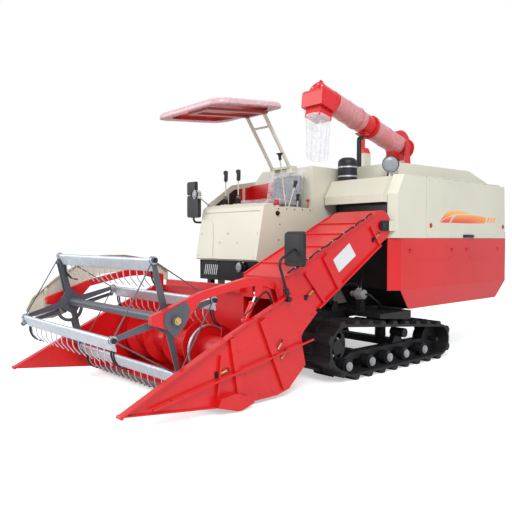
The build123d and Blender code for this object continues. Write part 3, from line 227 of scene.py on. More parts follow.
# %% Rubber and metals
def rubber(name):
    """Moulded rubber with a mottled bloom and dust."""
    material, tree = new_material(name, (0.02, 0.02, 0.02), 0.75)
    bloom = tree.noise(9.0, 4.0)
    grain = tree.noise(160.0, 3.0)
    dust = tree.soft(bloom * 0.7 + grain * 0.3, 0.5, 0.75)
    clean_black, dusty_black = (0.005, 0.005, 0.006), (0.030, 0.028, 0.026)
    tree.feed(tree.surface.inputs["Base Color"], tree.mix(dust * 0.2, clean_black, dusty_black))
    tree.feed(tree.surface.inputs["Roughness"], 0.62 + dust * 0.25)
    tree.feed(tree.surface.inputs["Normal"], tree.bump(grain, 0.35, 0.0015))
    return material


def bare_metal(name, colour, shade, rough, grain_scale=35.0):
    """Plated or ground metal: crystals or grain change its tone and its gloss."""
    material, tree = new_material(name, colour, rough, 1.0)
    sockets = {"Vector": tree.place(), "Scale": grain_scale}
    cells = tree.node("ShaderNodeTexVoronoi", {"feature": "F1"}, sockets, output="Color")
    tone = tree.axes(cells)[0]
    slow = tree.noise(5.0)
    tree.feed(tree.surface.inputs["Base Color"], tree.mix(tone * 0.6 + slow * 0.3, colour, shade))
    tree.feed(tree.surface.inputs["Roughness"], rough + tone * 0.10 + slow * 0.12)
    tree.feed(tree.surface.inputs["Normal"], tree.bump(tree.noise(240.0), 0.08, 0.0005))
    return material


track_rubber = rubber("track rubber")
zinc = bare_metal("zinc plate", (0.62, 0.66, 0.70), (0.50, 0.54, 0.59), 0.34)
ground_steel = bare_metal("ground steel", (0.46, 0.45, 0.44), (0.34, 0.33, 0.32), 0.36, 60.0)
cast_metal = bare_metal("cast aluminium", (0.34, 0.35, 0.36), (0.26, 0.27, 0.28), 0.55, 80.0)
chrome = bare_metal("chromed rod", (0.75, 0.76, 0.78), (0.70, 0.71, 0.73), 0.12, 20.0)
brass = bare_metal("brass wire", (0.72, 0.52, 0.22), (0.60, 0.42, 0.18), 0.30, 60.0)
print("rubber and metals ready")

# %% [markdown]
# ## Plastics, lenses and packing film
#
# Grips, mirror shells and bellows are moulded, with a grain that breaks up their shine. Glass
# would be the true material for a lamp's lens, but a pale glossy plastic with deep relief looks
# the same at this size and renders without noise. Packing film is the other way round: it is
# nearly clear, so what shows is its creases. They are the places where a noise crosses its middle
# value, and they are whiter, duller and less clear than the film between them.


# %% Plastics, vinyl, lenses and film
def plastic(name, colour, rough=0.5, grain=220.0, strength=0.25):
    """Moulded plastic with a fine grain."""
    material, tree = new_material(name, colour, rough)
    texture = tree.noise(grain, 3.0)
    slow = tree.noise(4.0)
    shade = tuple(part * 0.8 for part in colour)
    tree.feed(tree.surface.inputs["Base Color"], tree.mix(slow, colour, shade))
    tree.feed(tree.surface.inputs["Roughness"], rough + texture * 0.12)
    tree.feed(tree.surface.inputs["Normal"], tree.bump(texture, strength, 0.0008))
    return material


def clear_film(name, alpha=0.22, crumple=16.0, vein=0.35, relief=0.012):
    """Packing film: nearly clear, whiter along its creases, with crumples for the light to catch."""
    material, tree = new_material(name, (0.88, 0.90, 0.93), 0.10, coat_weight=0.5)
    folds = tree.noise(crumple, 5.0, 0.6)
    crease = tree.node("ShaderNodeMath", {"operation": "ABSOLUTE"}, {0: folds - 0.5})
    ridge = 1 - tree.soft(crease, 0.0, 0.035)
    tree.feed(tree.surface.inputs["Alpha"], alpha + ridge * vein + tree.noise(3.0) * 0.10)
    tree.feed(tree.surface.inputs["Roughness"], 0.10 + ridge * 0.2)
    tree.feed(tree.surface.inputs["Normal"], tree.bump(folds + ridge * 0.5, 0.9, relief))
    return material


black_tone = (0.008, 0.008, 0.009)
black_plastic = plastic("black plastic", black_tone, 0.42)
black_enamel = plastic("black enamel", (0.005, 0.005, 0.006), 0.50, 420.0, 0.08)
seat_vinyl = plastic("seat vinyl", (0.115, 0.13, 0.16), 0.40, 300.0, 0.4)
roof_film = clear_film("roof film", 0.36, 4.0, 0.12, 0.006)
sleeve_film = clear_film("sleeve film", 0.34, 3.0, 0.16, 0.010)
wound_film = clear_film("wound film", 0.20, 3.0, 0.10, 0.005)
seat_wrap = clear_film("seat wrap", 0.15, 5.0, 0.18, 0.008)
lamp_lens = plastic("lamp lens", (0.75, 0.78, 0.80), 0.12, 90.0, 0.3)
ribbed_lens = plastic("ribbed lens", (0.30, 0.32, 0.34), 0.08, 60.0, 0.9)
red_lens = plastic("red lens", (0.55, 0.006, 0.006), 0.14, 400.0, 0.6)
mirror_silver = new_material("mirror silver", (0.80, 0.82, 0.84), 0.04, 1.0)[0]
pale_plate = plastic("pale plate", (0.72, 0.74, 0.76), 0.38)
print("plastics ready")

# %% [markdown]
# ## What the frame's own parts wear
#
# Most parts of the frame already have the right shape, and only need their finish. They could be
# painted one by one, but the record names a slot for each, so one table from slot to material
# dresses them all, and a new part in a known slot needs no new line.

# %% Dress the frame
finish_of = {
    "rubber": track_rubber,
    "black_steel": black_enamel,
    "engine_metal": cast_metal,
    "cap_grey": cap_grey_enamel,
    "cream_paint": cream_enamel,
    "red_paint": red_enamel,
    "seat_cover": seat_vinyl,
    "lamp_glass": lamp_lens,
    "cutter_steel": ground_steel,
    "reel_grey": dark_grey_enamel,
    "reel_silver": zinc,
    "cylinder_black": black_enamel,
    "rod_chrome": chrome,
}
slot_of = {row["node"]: row["material_slot"] for row in frame["record"]["subparts"]}
for name, node in frame["nodes"].items():
    node.data.materials.clear()
    node.data.materials.append(finish_of[slot_of[name]])
print("dressed", len(frame["nodes"]), "frame parts")

# %% [markdown]
# ## Shapes from arrays
#
# Every added piece is a grid of points, or a ring of points carried along a path. Blender's own
# curves and Screw modifiers could make many of them, but a formula on arrays says the shape in
# one line, and numpy lays out all the points at once. A shape here is three things: its points,
# its quads, and the many-sided caps that close its ends.


# %% Skins over rings and grids
def unit(vectors):
    """Each vector divided by its own length."""
    return vectors / np.linalg.norm(vectors, axis=-1, keepdims=True)


def quads_of(rows, columns, around=False, closed=False):
    """Quads between a grid's neighbours; around joins its last column to its first, closed its rows."""
    i = np.arange(rows if closed else rows - 1)[:, None]
    j = np.arange(columns if around else columns - 1)[None, :]
    below = (i + 1) % rows
    right = (j + 1) % columns
    corners = [i * columns + j, i * columns + right, below * columns + right, below * columns + j]
    return np.stack(corners, -1).reshape(-1, 4)


def sheet_of(grid, around=False, capped=False):
    """An open sheet over a grid of points; capped fills the hole inside its first row."""
    rows, columns, _ = grid.shape
    caps = [np.arange(columns)] if capped else []
    return grid.reshape(-1, 3), quads_of(rows, columns, around), caps


def solid(rings, closed=False):
    """Rings of equal count joined to one skin, with a flat cap at each end unless the rings close."""
    rows, columns, _ = rings.shape
    caps = [] if closed else [np.arange(columns), (rows - 1) * columns + np.arange(columns)]
    return rings.reshape(-1, 3), quads_of(rows, columns, True, closed), caps


def join(*shapes):
    """Several shapes as one, their indices moved up past the points before them."""
    starts = np.cumsum([0] + [len(points) for points, _, _ in shapes])
    points = np.vstack([points for points, _, _ in shapes])
    quads = np.vstack([quads + start for (_, quads, _), start in zip(shapes, starts)])
    caps = [cap + start for (_, _, caps), start in zip(shapes, starts) for cap in caps]
    return points, quads, caps


print("skins ready")


# %% Tubes, turned shapes and plates
def circle(first, second, sides):
    """Points of a unit circle in the plane of two directions."""
    turn = np.linspace(0.0, 2 * math.pi, sides, endpoint=False)[:, None]
    return np.cos(turn) * first + np.sin(turn) * second


def tube(path, radius, sides=10):
    """A circle carried along a path: each ring is a path point plus the radius times a circle there."""
    path = np.asarray(path, float)
    radius = np.broadcast_to(np.asarray(radius, float), len(path))[:, None, None]
    along = unit(np.gradient(path, axis=0))
    least = np.eye(3)[np.argmin(np.abs(along).mean(axis=0))]
    first = unit(np.cross(along, least))[:, None, :]
    second = np.cross(along, first[:, 0])[:, None, :]
    turn = np.linspace(0.0, 2 * math.pi, sides, endpoint=False)[None, :, None]
    return solid(path[:, None, :] + radius * (np.cos(turn) * first + np.sin(turn) * second))


def turned(profile, centre, axis, sides=32, closed=False):
    """A lathe: each (distance, radius) of the profile becomes a ring that far along the axis."""
    axis = unit(np.asarray(axis, float))
    first = unit(np.cross(axis, np.eye(3)[np.argmin(np.abs(axis))]))
    ring = circle(first, np.cross(axis, first), sides)
    profile = np.asarray(profile, float)
    rings = np.asarray(centre, float) + profile[:, :1, None] * axis + profile[:, 1:, None] * ring
    return solid(rings, closed)


def on_line(start, end, profile, sides=20):
    """A turned shape from start towards end; the profile's distances are shares of the way."""
    start, end = np.asarray(start, float), np.asarray(end, float)
    length = np.linalg.norm(end - start)
    return turned([(share * length, radius) for share, radius in profile], start, end - start, sides)


def plate(outline, axis, low, high):
    """A flat outline given in the two other axes, raised between two levels of the named axis."""
    place = "xyz".index(axis)
    outline = np.asarray(outline, float)
    rings = np.stack([np.insert(outline, place, level, axis=1) for level in (low, high)])
    return solid(rings)


def rectangle(low, high):
    """The four corners between two opposite ones."""
    return [low, (high[0], low[1]), high, (low[0], high[1])]


print("tubes, turned shapes and plates ready")


# %% Curves, coils and bolts
def spline(points, count=40):
    """A Catmull-Rom curve: a cubic between each two points, which passes each along its neighbours."""
    p = np.asarray(points, float)
    p = np.vstack([2 * p[0] - p[1], p, 2 * p[-1] - p[-2]])
    place = np.linspace(0.0, len(p) - 3 - 1e-9, count)
    start = place.astype(int)
    t = (place - start)[:, None]
    a, b, c, d = p[start], p[start + 1], p[start + 2], p[start + 3]
    square_term, cube_term = 2 * a - 5 * b + 4 * c - d, 3 * b - a - 3 * c + d
    return 0.5 * (2 * b + (c - a) * t + square_term * t**2 + cube_term * t**3)


def coil(start, end, radius, turns, per_turn=14):
    """A helix: the line from start to end plus a circle that goes round once per turn."""
    start, end = np.asarray(start, float), np.asarray(end, float)
    share = np.linspace(0.0, 1.0, int(turns * per_turn))[:, None]
    axis = unit(end - start)
    first = unit(np.cross(axis, np.eye(3)[np.argmin(np.abs(axis))]))
    angle = share * turns * 2 * math.pi
    ring = np.cos(angle) * first + np.sin(angle) * np.cross(axis, first)
    return start + (end - start) * share + radius * ring


def bolts(centres, axis, radius=0.008, height=0.006):
    """Hexagon heads on washers: one turned profile, repeated by adding every centre to it."""
    centres = np.asarray(centres, float)
    washer, shoulder = radius * 1.5, height * 0.25
    profile = [(0.0, washer), (shoulder, washer), (height * 0.26, radius), (height, radius * 0.95)]
    points, quads, caps = turned(profile, (0, 0, 0), axis, 6)
    steps = np.arange(len(centres)) * len(points)
    all_points = (centres[:, None, :] + points).reshape(-1, 3)
    all_quads = (quads[None] + steps[:, None, None]).reshape(-1, 4)
    return all_points, all_quads, [cap + step for step in steps for cap in caps]


def between(start, end, count):
    """Evenly spaced points from start to end."""
    return np.linspace(start, end, count)


print("curves and bolts ready")


# %% From arrays to an object on its body
def add_piece(name, shape, body, material, smooth=True, bevel=0.0):
    """A mesh object from a shape, with its faces turned outwards, riding on a body."""
    points, quads, caps = shape
    mesh = bpy.data.meshes.new(name)
    mesh.from_pydata(points.tolist(), [], quads.tolist() + [cap.tolist() for cap in caps])
    work = bmesh.new()
    work.from_mesh(mesh)
    bmesh.ops.recalc_face_normals(work, faces=work.faces)
    work.to_mesh(mesh)
    work.free()
    mesh.polygons.foreach_set("use_smooth", np.full(len(mesh.polygons), smooth))
    mesh.materials.append(material)
    made = bpy.data.objects.new(name, mesh)
    bpy.context.scene.collection.objects.link(made)
    if smooth:
        mesh.set_sharp_from_angle(angle=math.radians(38))
    if bevel:
        edge = made.modifiers.new("soft edges", "BEVEL")
        edge.width = bevel
        edge.segments = 2
        edge.limit_method = "ANGLE"
    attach(made, body)
    return made


print("shape tools ready")

# %% [markdown]
# ## The canopy
#
# One moulded sheet over the driver, crowned in the middle and turned down at its rim. A box with
# a Bevel would have the rim but not the crown. So the rim's outline is shrunk towards the middle
# and raised by a profile, ring after ring, on a plane that is pitched as the roof is.

# %% The roof's plane and rim
roof_low, roof_high = (np.asarray(side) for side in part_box("canopy_roof"))
pitch = math.radians(5.5)
roof_length, roof_corner, rim_clearance = 0.915, 0.160, 0.003
roof_front = np.array([(roof_low[0] + roof_high[0]) / 2, -1.204, 2.582])
roof_back_way = np.array([0.0, math.cos(pitch), math.sin(pitch)])
roof_up_way = np.array([0.0, -math.sin(pitch), math.cos(pitch)])


def rounded(half_wide, half_high, corner, middle=(0.0, 0.0), per_corner=8):
    """A rectangle with round corners: each corner's arc moved out to that corner's centre."""
    turn = np.linspace(0, math.pi / 2, per_corner)[None, :] + np.arange(4)[:, None] * math.pi / 2
    centres = np.array([(1, 1), (-1, 1), (-1, -1), (1, -1)]) * (half_wide - corner, half_high - corner)
    arc = np.stack([np.cos(turn), np.sin(turn)], -1) * corner
    return (centres[:, None, :] + arc).reshape(-1, 2) + middle


def roof_skin(profile, count=200):
    """The rim's outline shrunk to each share of a profile and raised by its height, on the pitched plane."""
    half_wide, half_long = (roof_high[0] - roof_low[0]) / 2 - rim_clearance, roof_length / 2 - rim_clearance
    rim = rounded(half_wide, half_long, roof_corner, per_corner=24)
    rim = np.vstack([rim, rim[:1]])
    walked = np.concatenate([[0.0], np.cumsum(np.linalg.norm(np.diff(rim, axis=0), axis=1))])
    even = np.linspace(0.0, walked[-1], count, endpoint=False)
    rim = np.column_stack([np.interp(even, walked, rim[:, 0]), np.interp(even, walked, rim[:, 1])])
    shares, heights = np.asarray(profile, float).T
    flat = shares[:, None, None] * rim[None]
    return flat, np.broadcast_to(heights[:, None], flat.shape[:2])


def on_roof(flat, height):
    """Places across and along the roof, and a height off its plane, as places in the machine's frame."""
    middle = roof_front + roof_back_way * roof_length / 2
    level = middle + flat[..., :1] * (1.0, 0.0, 0.0) + flat[..., 1:] * roof_back_way
    return level + height[..., None] * roof_up_way


print("roof:", np.round(roof_high - roof_low, 3), "m")


# %% The canopy's shell
def thick(made, amount, offset=-1.0):
    """Gives an open sheet its thickness."""
    wall = made.modifiers.new("thickness", "SOLIDIFY")
    wall.thickness = amount
    wall.offset = offset
    return made


def face_up(made):
    """Turns an open sheet's faces to the side where most of them already look up."""
    normals = np.empty(len(made.data.polygons) * 3)
    made.data.polygons.foreach_get("normal", normals)
    if normals[2::3].sum() < 0:
        made.data.flip_normals()
    return made


crown_share = 0.93           # the crown reaches this far out, and the rim bends down from there
crown_edge, crown_rise = 0.050, 0.011
crown = [(share, crown_edge + crown_rise * (1 - (share / crown_share) ** 2))
         for share in np.linspace(0.02, crown_share, 34)]
bend = [(crown_share + 0.07 * math.sin(turn), 0.012 + 0.038 * math.cos(turn))
        for turn in np.linspace(0.12, math.pi / 2, 9)]
shell_rings = on_roof(*roof_skin(crown + bend + [(1.0, 0.006), (1.0, 0.0005)]))
canopy = face_up(add_piece("canopy_shell", sheet_of(shell_rings, True, True), "chassis", red_enamel))
thick(canopy, 0.008)
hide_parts("canopy_roof")
print("canopy:", len(canopy.data.polygons), "faces")

# %% [markdown]
# ## The canopy's film
#
# The roof is still in its packing film, which is tucked in under the rim. Draping it by simulation
# would need many minutes for creases of a few millimetres. Instead the film follows the shell's
# own profile and goes on under the rim, and three sines of the place on the roof lift it off in
# shallow ripples, most at the corners, where there is film to spare.

# %% Film round the canopy
tuck = [(1.003, 0.008), (1.003, 0.0), (0.998, -0.005), (0.985, -0.0065), (0.96, -0.006),
        (0.92, -0.005), (0.88, -0.003), (0.83, -0.0008), (0.79, -0.0002)]
film_profile = crown + bend + tuck
film_flat, film_height = roof_skin(film_profile, 260)
film_u, film_v = film_flat[..., 0], film_flat[..., 1]
along_film = np.linspace(0.0, 1.0, len(film_profile))[:, None]
corner_share = np.abs(film_u * film_v) / 0.2
ripple = (np.sin(31 * film_u + 13 * film_v) * np.sin(19 * film_v - 7 * film_u)
          + 0.6 * np.sin(57 * film_u - 16 * film_v))
pucker = corner_share * np.abs(np.sin(70 * film_u + 46 * film_v))
lift = 0.0045 + 0.0012 * ripple + 0.0030 * pucker
wrapped = film_flat * (1 + 0.006 * (along_film > 0.7)[..., None])
wrap_rings = on_roof(wrapped, film_height + lift * np.where(film_height >= 0.0065, 1.0, 0.15))
wrap = face_up(add_piece("canopy_film", sheet_of(wrap_rings, True, True), "chassis", roof_film))
print("canopy film:", len(wrap.data.polygons), "faces")

# %% [markdown]
# ## The seat
#
# A foam pad swells against its cover. A rounded box looks like soap beside it, because a real pad
# is full in the middle and pulled in along its seams. So each pad starts a little small and is
# inflated by a short cloth simulation, with a limit on the swell, and its seams are pressed in
# afterwards as soft grooves.


# %% A pad's first form
def pad_form(low, high, lean=0.0, round_off=0.28):
    """A closed box of points pushed towards a rounded brick; lean moves its top back by that much."""
    low, high = np.asarray(low), np.asarray(high)
    bm = bmesh.new()
    bmesh.ops.create_cube(bm, size=2.0)
    bmesh.ops.subdivide_edges(bm, edges=bm.edges, cuts=11, use_grid_fill=True)
    mesh = bpy.data.meshes.new("pad")
    bm.to_mesh(mesh)
    bm.free()
    points = np.empty(len(mesh.vertices) * 3)
    mesh.vertices.foreach_get("co", points)
    points = points.reshape(-1, 3)
    ball = points / np.linalg.norm(points, ord=4, axis=1, keepdims=True)
    points = points * (1 - round_off) + ball * round_off
    points = (low + high) / 2 + points * (high - low) / 2
    points[:, 1] += lean * (points[:, 2] - low[2]) / (high[2] - low[2])
    mesh.vertices.foreach_set("co", points.ravel())
    return mesh


print("pad form ready")


# %% Inflating it
def inflate(name, mesh, node, cap, seams):
    """Remeshes the form, inflates it as cloth with a capped swell, then sinks its seams."""
    made = bpy.data.objects.new(name, mesh)
    bpy.context.scene.collection.objects.link(made)
    remesh = made.modifiers.new("remesh", "REMESH")
    remesh.mode = "VOXEL"
    remesh.voxel_size = 0.006
    remesh.use_smooth_shade = True
    made.data = bpy.data.meshes.new_from_object(made.evaluated_get(bpy.context.evaluated_depsgraph_get()))
    made.modifiers.clear()
    rest = np.empty(len(made.data.vertices) * 3)
    made.data.vertices.foreach_get("co", rest)
    rest = rest.reshape(-1, 3)
    moved = rest
    cloth = made.modifiers.new("cloth", "CLOTH")
    cloth.settings.use_pressure = True
    cloth.settings.uniform_pressure_force = 4.0
    cloth.settings.quality = 5
    cloth.settings.effector_weights.gravity = 0.0
    cloth.collision_settings.use_collision = False
    for step in range(1, 21):
        bpy.context.scene.frame_set(step)
    blown = made.evaluated_get(bpy.context.evaluated_depsgraph_get()).data
    moved = np.empty(rest.size)
    blown.vertices.foreach_get("co", moved)
    moved = moved.reshape(-1, 3)
    made.modifiers.clear()
    bpy.context.scene.frame_set(1)
    swell = moved - rest
    far = np.linalg.norm(swell, axis=1, keepdims=True)
    points = rest + swell * np.minimum(1.0, cap / np.maximum(far, 1e-9))
    middle = points.mean(axis=0)
    depth = seams(points)[:, None]
    points = points - unit(points - middle) * depth
    low, high = (np.asarray(side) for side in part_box(node))
    points = np.clip(points, low + 0.0004, high + 0.008)
    made.data.vertices.foreach_set("co", points.ravel())
    made.data.update()
    made.data.polygons.foreach_set("use_smooth", np.full(len(made.data.polygons), True))
    made.data.materials.clear()
    made.data.materials.append(seat_vinyl)
    finer = made.modifiers.new("finer", "SUBSURF")
    finer.levels = finer.render_levels = 1
    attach(made, "chassis")
    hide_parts(node)
    return made


print("inflation ready")


# %% Seams of the cushion and the back rest
def groove(distance, width, depth):
    """A soft groove: deep where the distance is nothing, gone two widths away."""
    return depth * np.exp(-(distance / width) ** 2)


seat_low, seat_high = (np.asarray(side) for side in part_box("seat_cushion"))
back_low, back_high = (np.asarray(side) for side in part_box("seat_back"))
seat_mid_x = (seat_low[0] + seat_high[0]) / 2
panel_half_x = 0.165                                # half the width of each pad's middle panel
cushion_mid_y, cushion_half_y = -0.29, 0.145
back_mid_z, back_half_z = 1.82, 0.155
piping_z = 1.655
thread = 0.006                                      # the width of every groove


def sewn(aside, along, channels, ring_depth):
    """A sewn ring round the middle panel, and channels across it; along is a share, 1 at the ring."""
    ring = np.maximum(aside / panel_half_x, along) - 1
    bars = groove(np.min(channels, axis=1), thread, 0.005) * (aside < panel_half_x)
    return groove(ring * 0.15, thread, ring_depth) + bars


def cushion_seams(p):
    """The sewn panel, with two channels, and the piping round the cushion's side."""
    aside, along = np.abs(p[:, 0] - seat_mid_x), np.abs(p[:, 1] - cushion_mid_y) / cushion_half_y
    panel = sewn(aside, along, np.abs(p[:, 1:2] - np.array([-0.34, -0.24])), 0.007)
    return panel + groove(p[:, 2] - piping_z, thread, 0.004)


def back_seams(p):
    """The sewn panel, with three channels."""
    aside, along = np.abs(p[:, 0] - seat_mid_x), np.abs(p[:, 2] - back_mid_z) / back_half_z
    return sewn(aside, along, np.abs(p[:, 2:] - np.array([1.74, 1.82, 1.90])), 0.006)


swell_cap = 0.014
cushion_form = pad_form(seat_low + 0.010, seat_high - 0.012)
back_form = pad_form(back_low + (0.012, 0.012, 0.0), back_high - (0.012, 0.03, 0.012), 0.02, 0.55)
pads = [inflate("seat_pad", cushion_form, "seat_cushion", swell_cap, cushion_seams),
        inflate("back_pad", back_form, "seat_back", swell_cap, back_seams)]
print("seat pads:", sum(len(pad.data.polygons) for pad in pads), "faces")

# %% [markdown]
# ## Film over the seat
#
# The seat is still under its packing film: one sheet goes up the front of the cushion, across it,
# up the back and over. Its line from the side is one smooth curve, carried across the seat, and
# its two edges hang down past the pads. Small creases come from a sum of seeded sines, which are
# real geometry, so that they bend the light that goes through.


# %% Film over the seat
def crumple(shape, amount, seed):
    """Smooth creases: a sum of sine waves whose directions come from one seeded table."""
    rng = np.random.default_rng(seed)
    directions = rng.normal(size=(9, 3)) * 34.0
    phases = rng.uniform(0, 6.28, 9)
    total = np.sin(shape.reshape(-1, 3) @ directions.T + phases).sum(axis=1)
    return amount * total.reshape(shape.shape[:-1]) / 3.0


over = spline([(-0.505, 1.60), (-0.512, 1.68), (-0.46, 1.722), (-0.30, 1.728), (-0.12, 1.722), (-0.078, 1.76),
               (-0.052, 1.90), (-0.030, 2.02), (0.0, 2.052), (0.040, 2.03), (0.062, 1.92)], 110)
across = np.linspace(-1.0, 1.0, 70)
film_half_x = 0.246                                 # half the film's width where it lies flat
hang_from = 0.86                                    # the share of that width where its edges drop
crook_z = 1.74                                      # below it the film lies on the cushion
hang = np.clip((np.abs(across) - hang_from) / (1 - hang_from), 0, 1)
film_x = seat_mid_x + film_half_x * np.sign(across) * np.minimum(np.abs(across) / hang_from, 1.0)
film = np.empty((len(over), len(across), 3))
narrower = 1 - 0.13 * np.clip((over[:, 1:] - 1.86) / 0.19, 0, 1) ** 2
film[:, :, 0] = seat_mid_x + (film_x + 0.004 * hang * np.sign(across) - seat_mid_x) * narrower
film[:, :, 1] = over[:, None, 0]
film[:, :, 2] = over[:, None, 1] - 0.05 * hang * (over[:, None, 1] < crook_z)
film[:, :, 1] += 0.05 * hang * (over[:, None, 1] >= crook_z)
film[:, :, 2] += np.abs(crumple(film, 0.004, 3)) * (1 - hang)
film[:, :, 1] -= np.abs(crumple(film, 0.004, 5)) * (1 - hang)
seat_film = add_piece("seat_film", sheet_of(film), "chassis", seat_wrap)
print("seat film:", len(seat_film.data.polygons), "faces")

# %% [markdown]
# ## The spout's sleeve
#
# A sleeve of the same film hangs from the unloading spout. Round its mouth it takes the spout's
# rounded square, and further down it narrows, and waves like a curtain's grow round it. It rides
# on the boom, and it is short enough to clear the lamp when the boom swings.

# %% Sleeve under the spout
sleeve_x, sleeve_y, sleeve_top, sleeve_low = 0.020, 0.249, 2.66, 2.19
sleeve_half_x, sleeve_half_y = 0.118, 0.108
down = np.linspace(0.0, 1.0, 60)[:, None]           # 0 at the spout, 1 at the hem
turn = np.linspace(0.0, 2 * math.pi, 96, endpoint=False)
square = 1.0 / (np.abs(np.cos(turn)) ** 5 + np.abs(np.sin(turn)) ** 5) ** 0.2
waves = 1 + 0.10 * down * np.sin(9 * turn + 2 * down) * (1 - 0.3 * down)
reach = square * waves * (1 - 0.16 * down)
sleeve = np.empty((*reach.shape, 3))
sleeve[:, :, 0] = sleeve_x + sleeve_half_x * np.cos(turn) * reach
sleeve[:, :, 1] = sleeve_y - 0.020 * down + sleeve_half_y * np.sin(turn) * reach
sleeve[:, :, 2] = sleeve_top - (sleeve_top - sleeve_low) * down - 0.026 * np.sin(turn)
sleeve[:, :, 0] += crumple(sleeve, 0.004, 8) * down
sleeve[:, :, 1] += crumple(sleeve, 0.004, 9) * down
spout_film = add_piece("spout_sleeve", sheet_of(sleeve, True), "unload_boom", sleeve_film)
print("spout sleeve:", len(spout_film.data.polygons), "faces")

# %% [markdown]
# ## Markings on the left side
#
# A swoosh of three curved bands, red below and orange above, with three slanted bars at its end.
# It names nobody. Painted by a mask its edges would be only as sharp as the maths behind them, so
# it is cut as a printed sticker is: thin plates between two curves, which ride on the door.

# %% Stripes on the side door
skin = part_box("side_door")[1][0]
sticker_low, sticker_high = skin + 0.0001, skin + 0.0007


def band(lower, upper, count=48):
    """A thin plate on the door between two curves that run the same way."""
    low_edge, high_edge = spline(lower, count), spline(upper, count)
    outline = np.vstack([low_edge, high_edge[::-1]])
    inner = np.column_stack([np.full(len(outline), sticker_low), outline])
    outer = inner + (0.0006, 0, 0)
    points = np.vstack([inner, outer])
    n = len(outline)
    i = np.arange(count - 1)
    face = np.stack([i, i + 1, n - 2 - i, n - 1 - i], -1)
    return points, np.vstack([face, face + n, quads_of(2, n, True)]), []


def slanted(y, low=1.512, high=1.570):
    """A bar that leans back by as much as the swoosh's end does."""
    corners = [(y, low), (y + 0.045, low), (y + 0.075, high), (y + 0.030, high)]
    return plate(corners, "x", sticker_low, sticker_high)


swoosh = join(
    band([(1.150, 1.490), (1.230, 1.532), (1.330, 1.560), (1.470, 1.590), (1.640, 1.600), (1.800, 1.604)],
         [(1.148, 1.492), (1.250, 1.580), (1.359, 1.618), (1.518, 1.628), (1.660, 1.620), (1.800, 1.608)]),
    band([(1.165, 1.488), (1.260, 1.489), (1.345, 1.490)], [(1.240, 1.528), (1.330, 1.551), (1.420, 1.567)]),
    band([(1.377, 1.492), (1.640, 1.491), (1.900, 1.494), (2.100, 1.498), (2.180, 1.510)],
         [(1.450, 1.558), (1.551, 1.583), (1.800, 1.588), (2.060, 1.580), (2.200, 1.566)]),
    *(slanted(y) for y in (2.215, 2.290, 2.365)),
)
stripe_paint, stripe_tree = new_material("stripe print", (0.85, 0.20, 0.03), 0.30, coat_weight=0.4)
stripe_y, stripe_z = stripe_tree.axes()[1:]
blush = stripe_tree.soft(stripe_z + stripe_tree.noise(3.0) * 0.01, 1.49, 1.63)
warm = stripe_tree.mix(blush, (0.74, 0.03, 0.015), (0.93, 0.42, 0.03))
stripe_tree.feed(stripe_tree.surface.inputs["Base Color"],
                 stripe_tree.mix(stripe_tree.soft(stripe_y, 1.7, 2.35), warm, (0.90, 0.30, 0.03)))
add_piece("stripes", swoosh, "side_door", stripe_paint, smooth=False)
print("stripes:", len(swoosh[1]), "quads")

# %% [markdown]
# ## Reflectors, handle and screws on the door
#
# Two red reflectors, a black pull handle on its backing plate, and the screws round the panel's
# edge. They are turned shapes, a tube on a curve and one small hexagon repeated, and each rides
# on the door, so that they swing out with it.

# %% Reflectors, handle and screws
disc_profile = [(0.0, 0.026), (0.004, 0.026), (0.006, 0.022), (0.009, 0.020), (0.011, 0.012), (0.0115, 0.002)]
discs = [turned(disc_profile, (skin, y, z), (1, 0, 0)) for y, z in ((0.972, 1.455), (2.640, 1.465))]
add_piece("reflectors", join(*discs), "side_door", red_lens)
handle_z, handle_mid_y = 1.344, 1.773
grip_path = spline([(skin + out, handle_mid_y + along, handle_z) for out, along in
                    ((0.001, -0.109), (0.020, -0.087), (0.024, 0.0), (0.020, 0.087), (0.001, 0.109))], 40)
backing = plate(rectangle((1.654, 1.326), (1.892, 1.362)), "x", skin, skin + 0.003)
add_piece("door_handle", join(tube(grip_path, 0.010, 12), backing), "side_door", black_plastic, bevel=0.001)
screw_top_z, screw_low_z, door_front_y, door_rear_y = 1.935, 1.348, 0.93, 2.62
seam_screws = np.vstack([
    between((skin, door_front_y, screw_top_z), (skin, door_rear_y, screw_top_z), 9),
    between((skin, door_front_y, screw_low_z), (skin, 1.60, screw_low_z), 4),
    between((skin, 1.96, screw_low_z), (skin, door_rear_y, screw_low_z), 4),
])
add_piece("door_screws", bolts(seam_screws, (1, 0, 0), 0.0045, 0.003), "side_door", zinc, smooth=False)
print("door fittings:", len(seam_screws), "screws")

# %% [markdown]
# ## Paint that changes with its place
#
# Some frame parts carry two colours: the guard beside the driver is red and black inside a cream
# edge, the auger's cradle is red above its cream column, the hood is black where it turns under,
# and the levers end in black. Splitting those parts would break the frame, so the paint asks where
# it is instead: a comparison of coordinates is 1 on one side of a plane and 0 on the other, a
# product of comparisons is a box, and that mask chooses between the two colours.

# %% Two-colour enamels
def two_enamels(name, base, other, mask_of):
    """The base enamel, with the other colour where mask_of, given the x, y and z of the place, is 1."""
    material = base.copy()
    material.name = name
    tree = Tree(material)
    surface = tree.nodes["Principled BSDF"]
    under = Wire(tree, surface.inputs["Base Color"].links[0].from_socket)
    tree.feed(surface.inputs["Base Color"], tree.mix(mask_of(*tree.axes()), under, other))
    return material


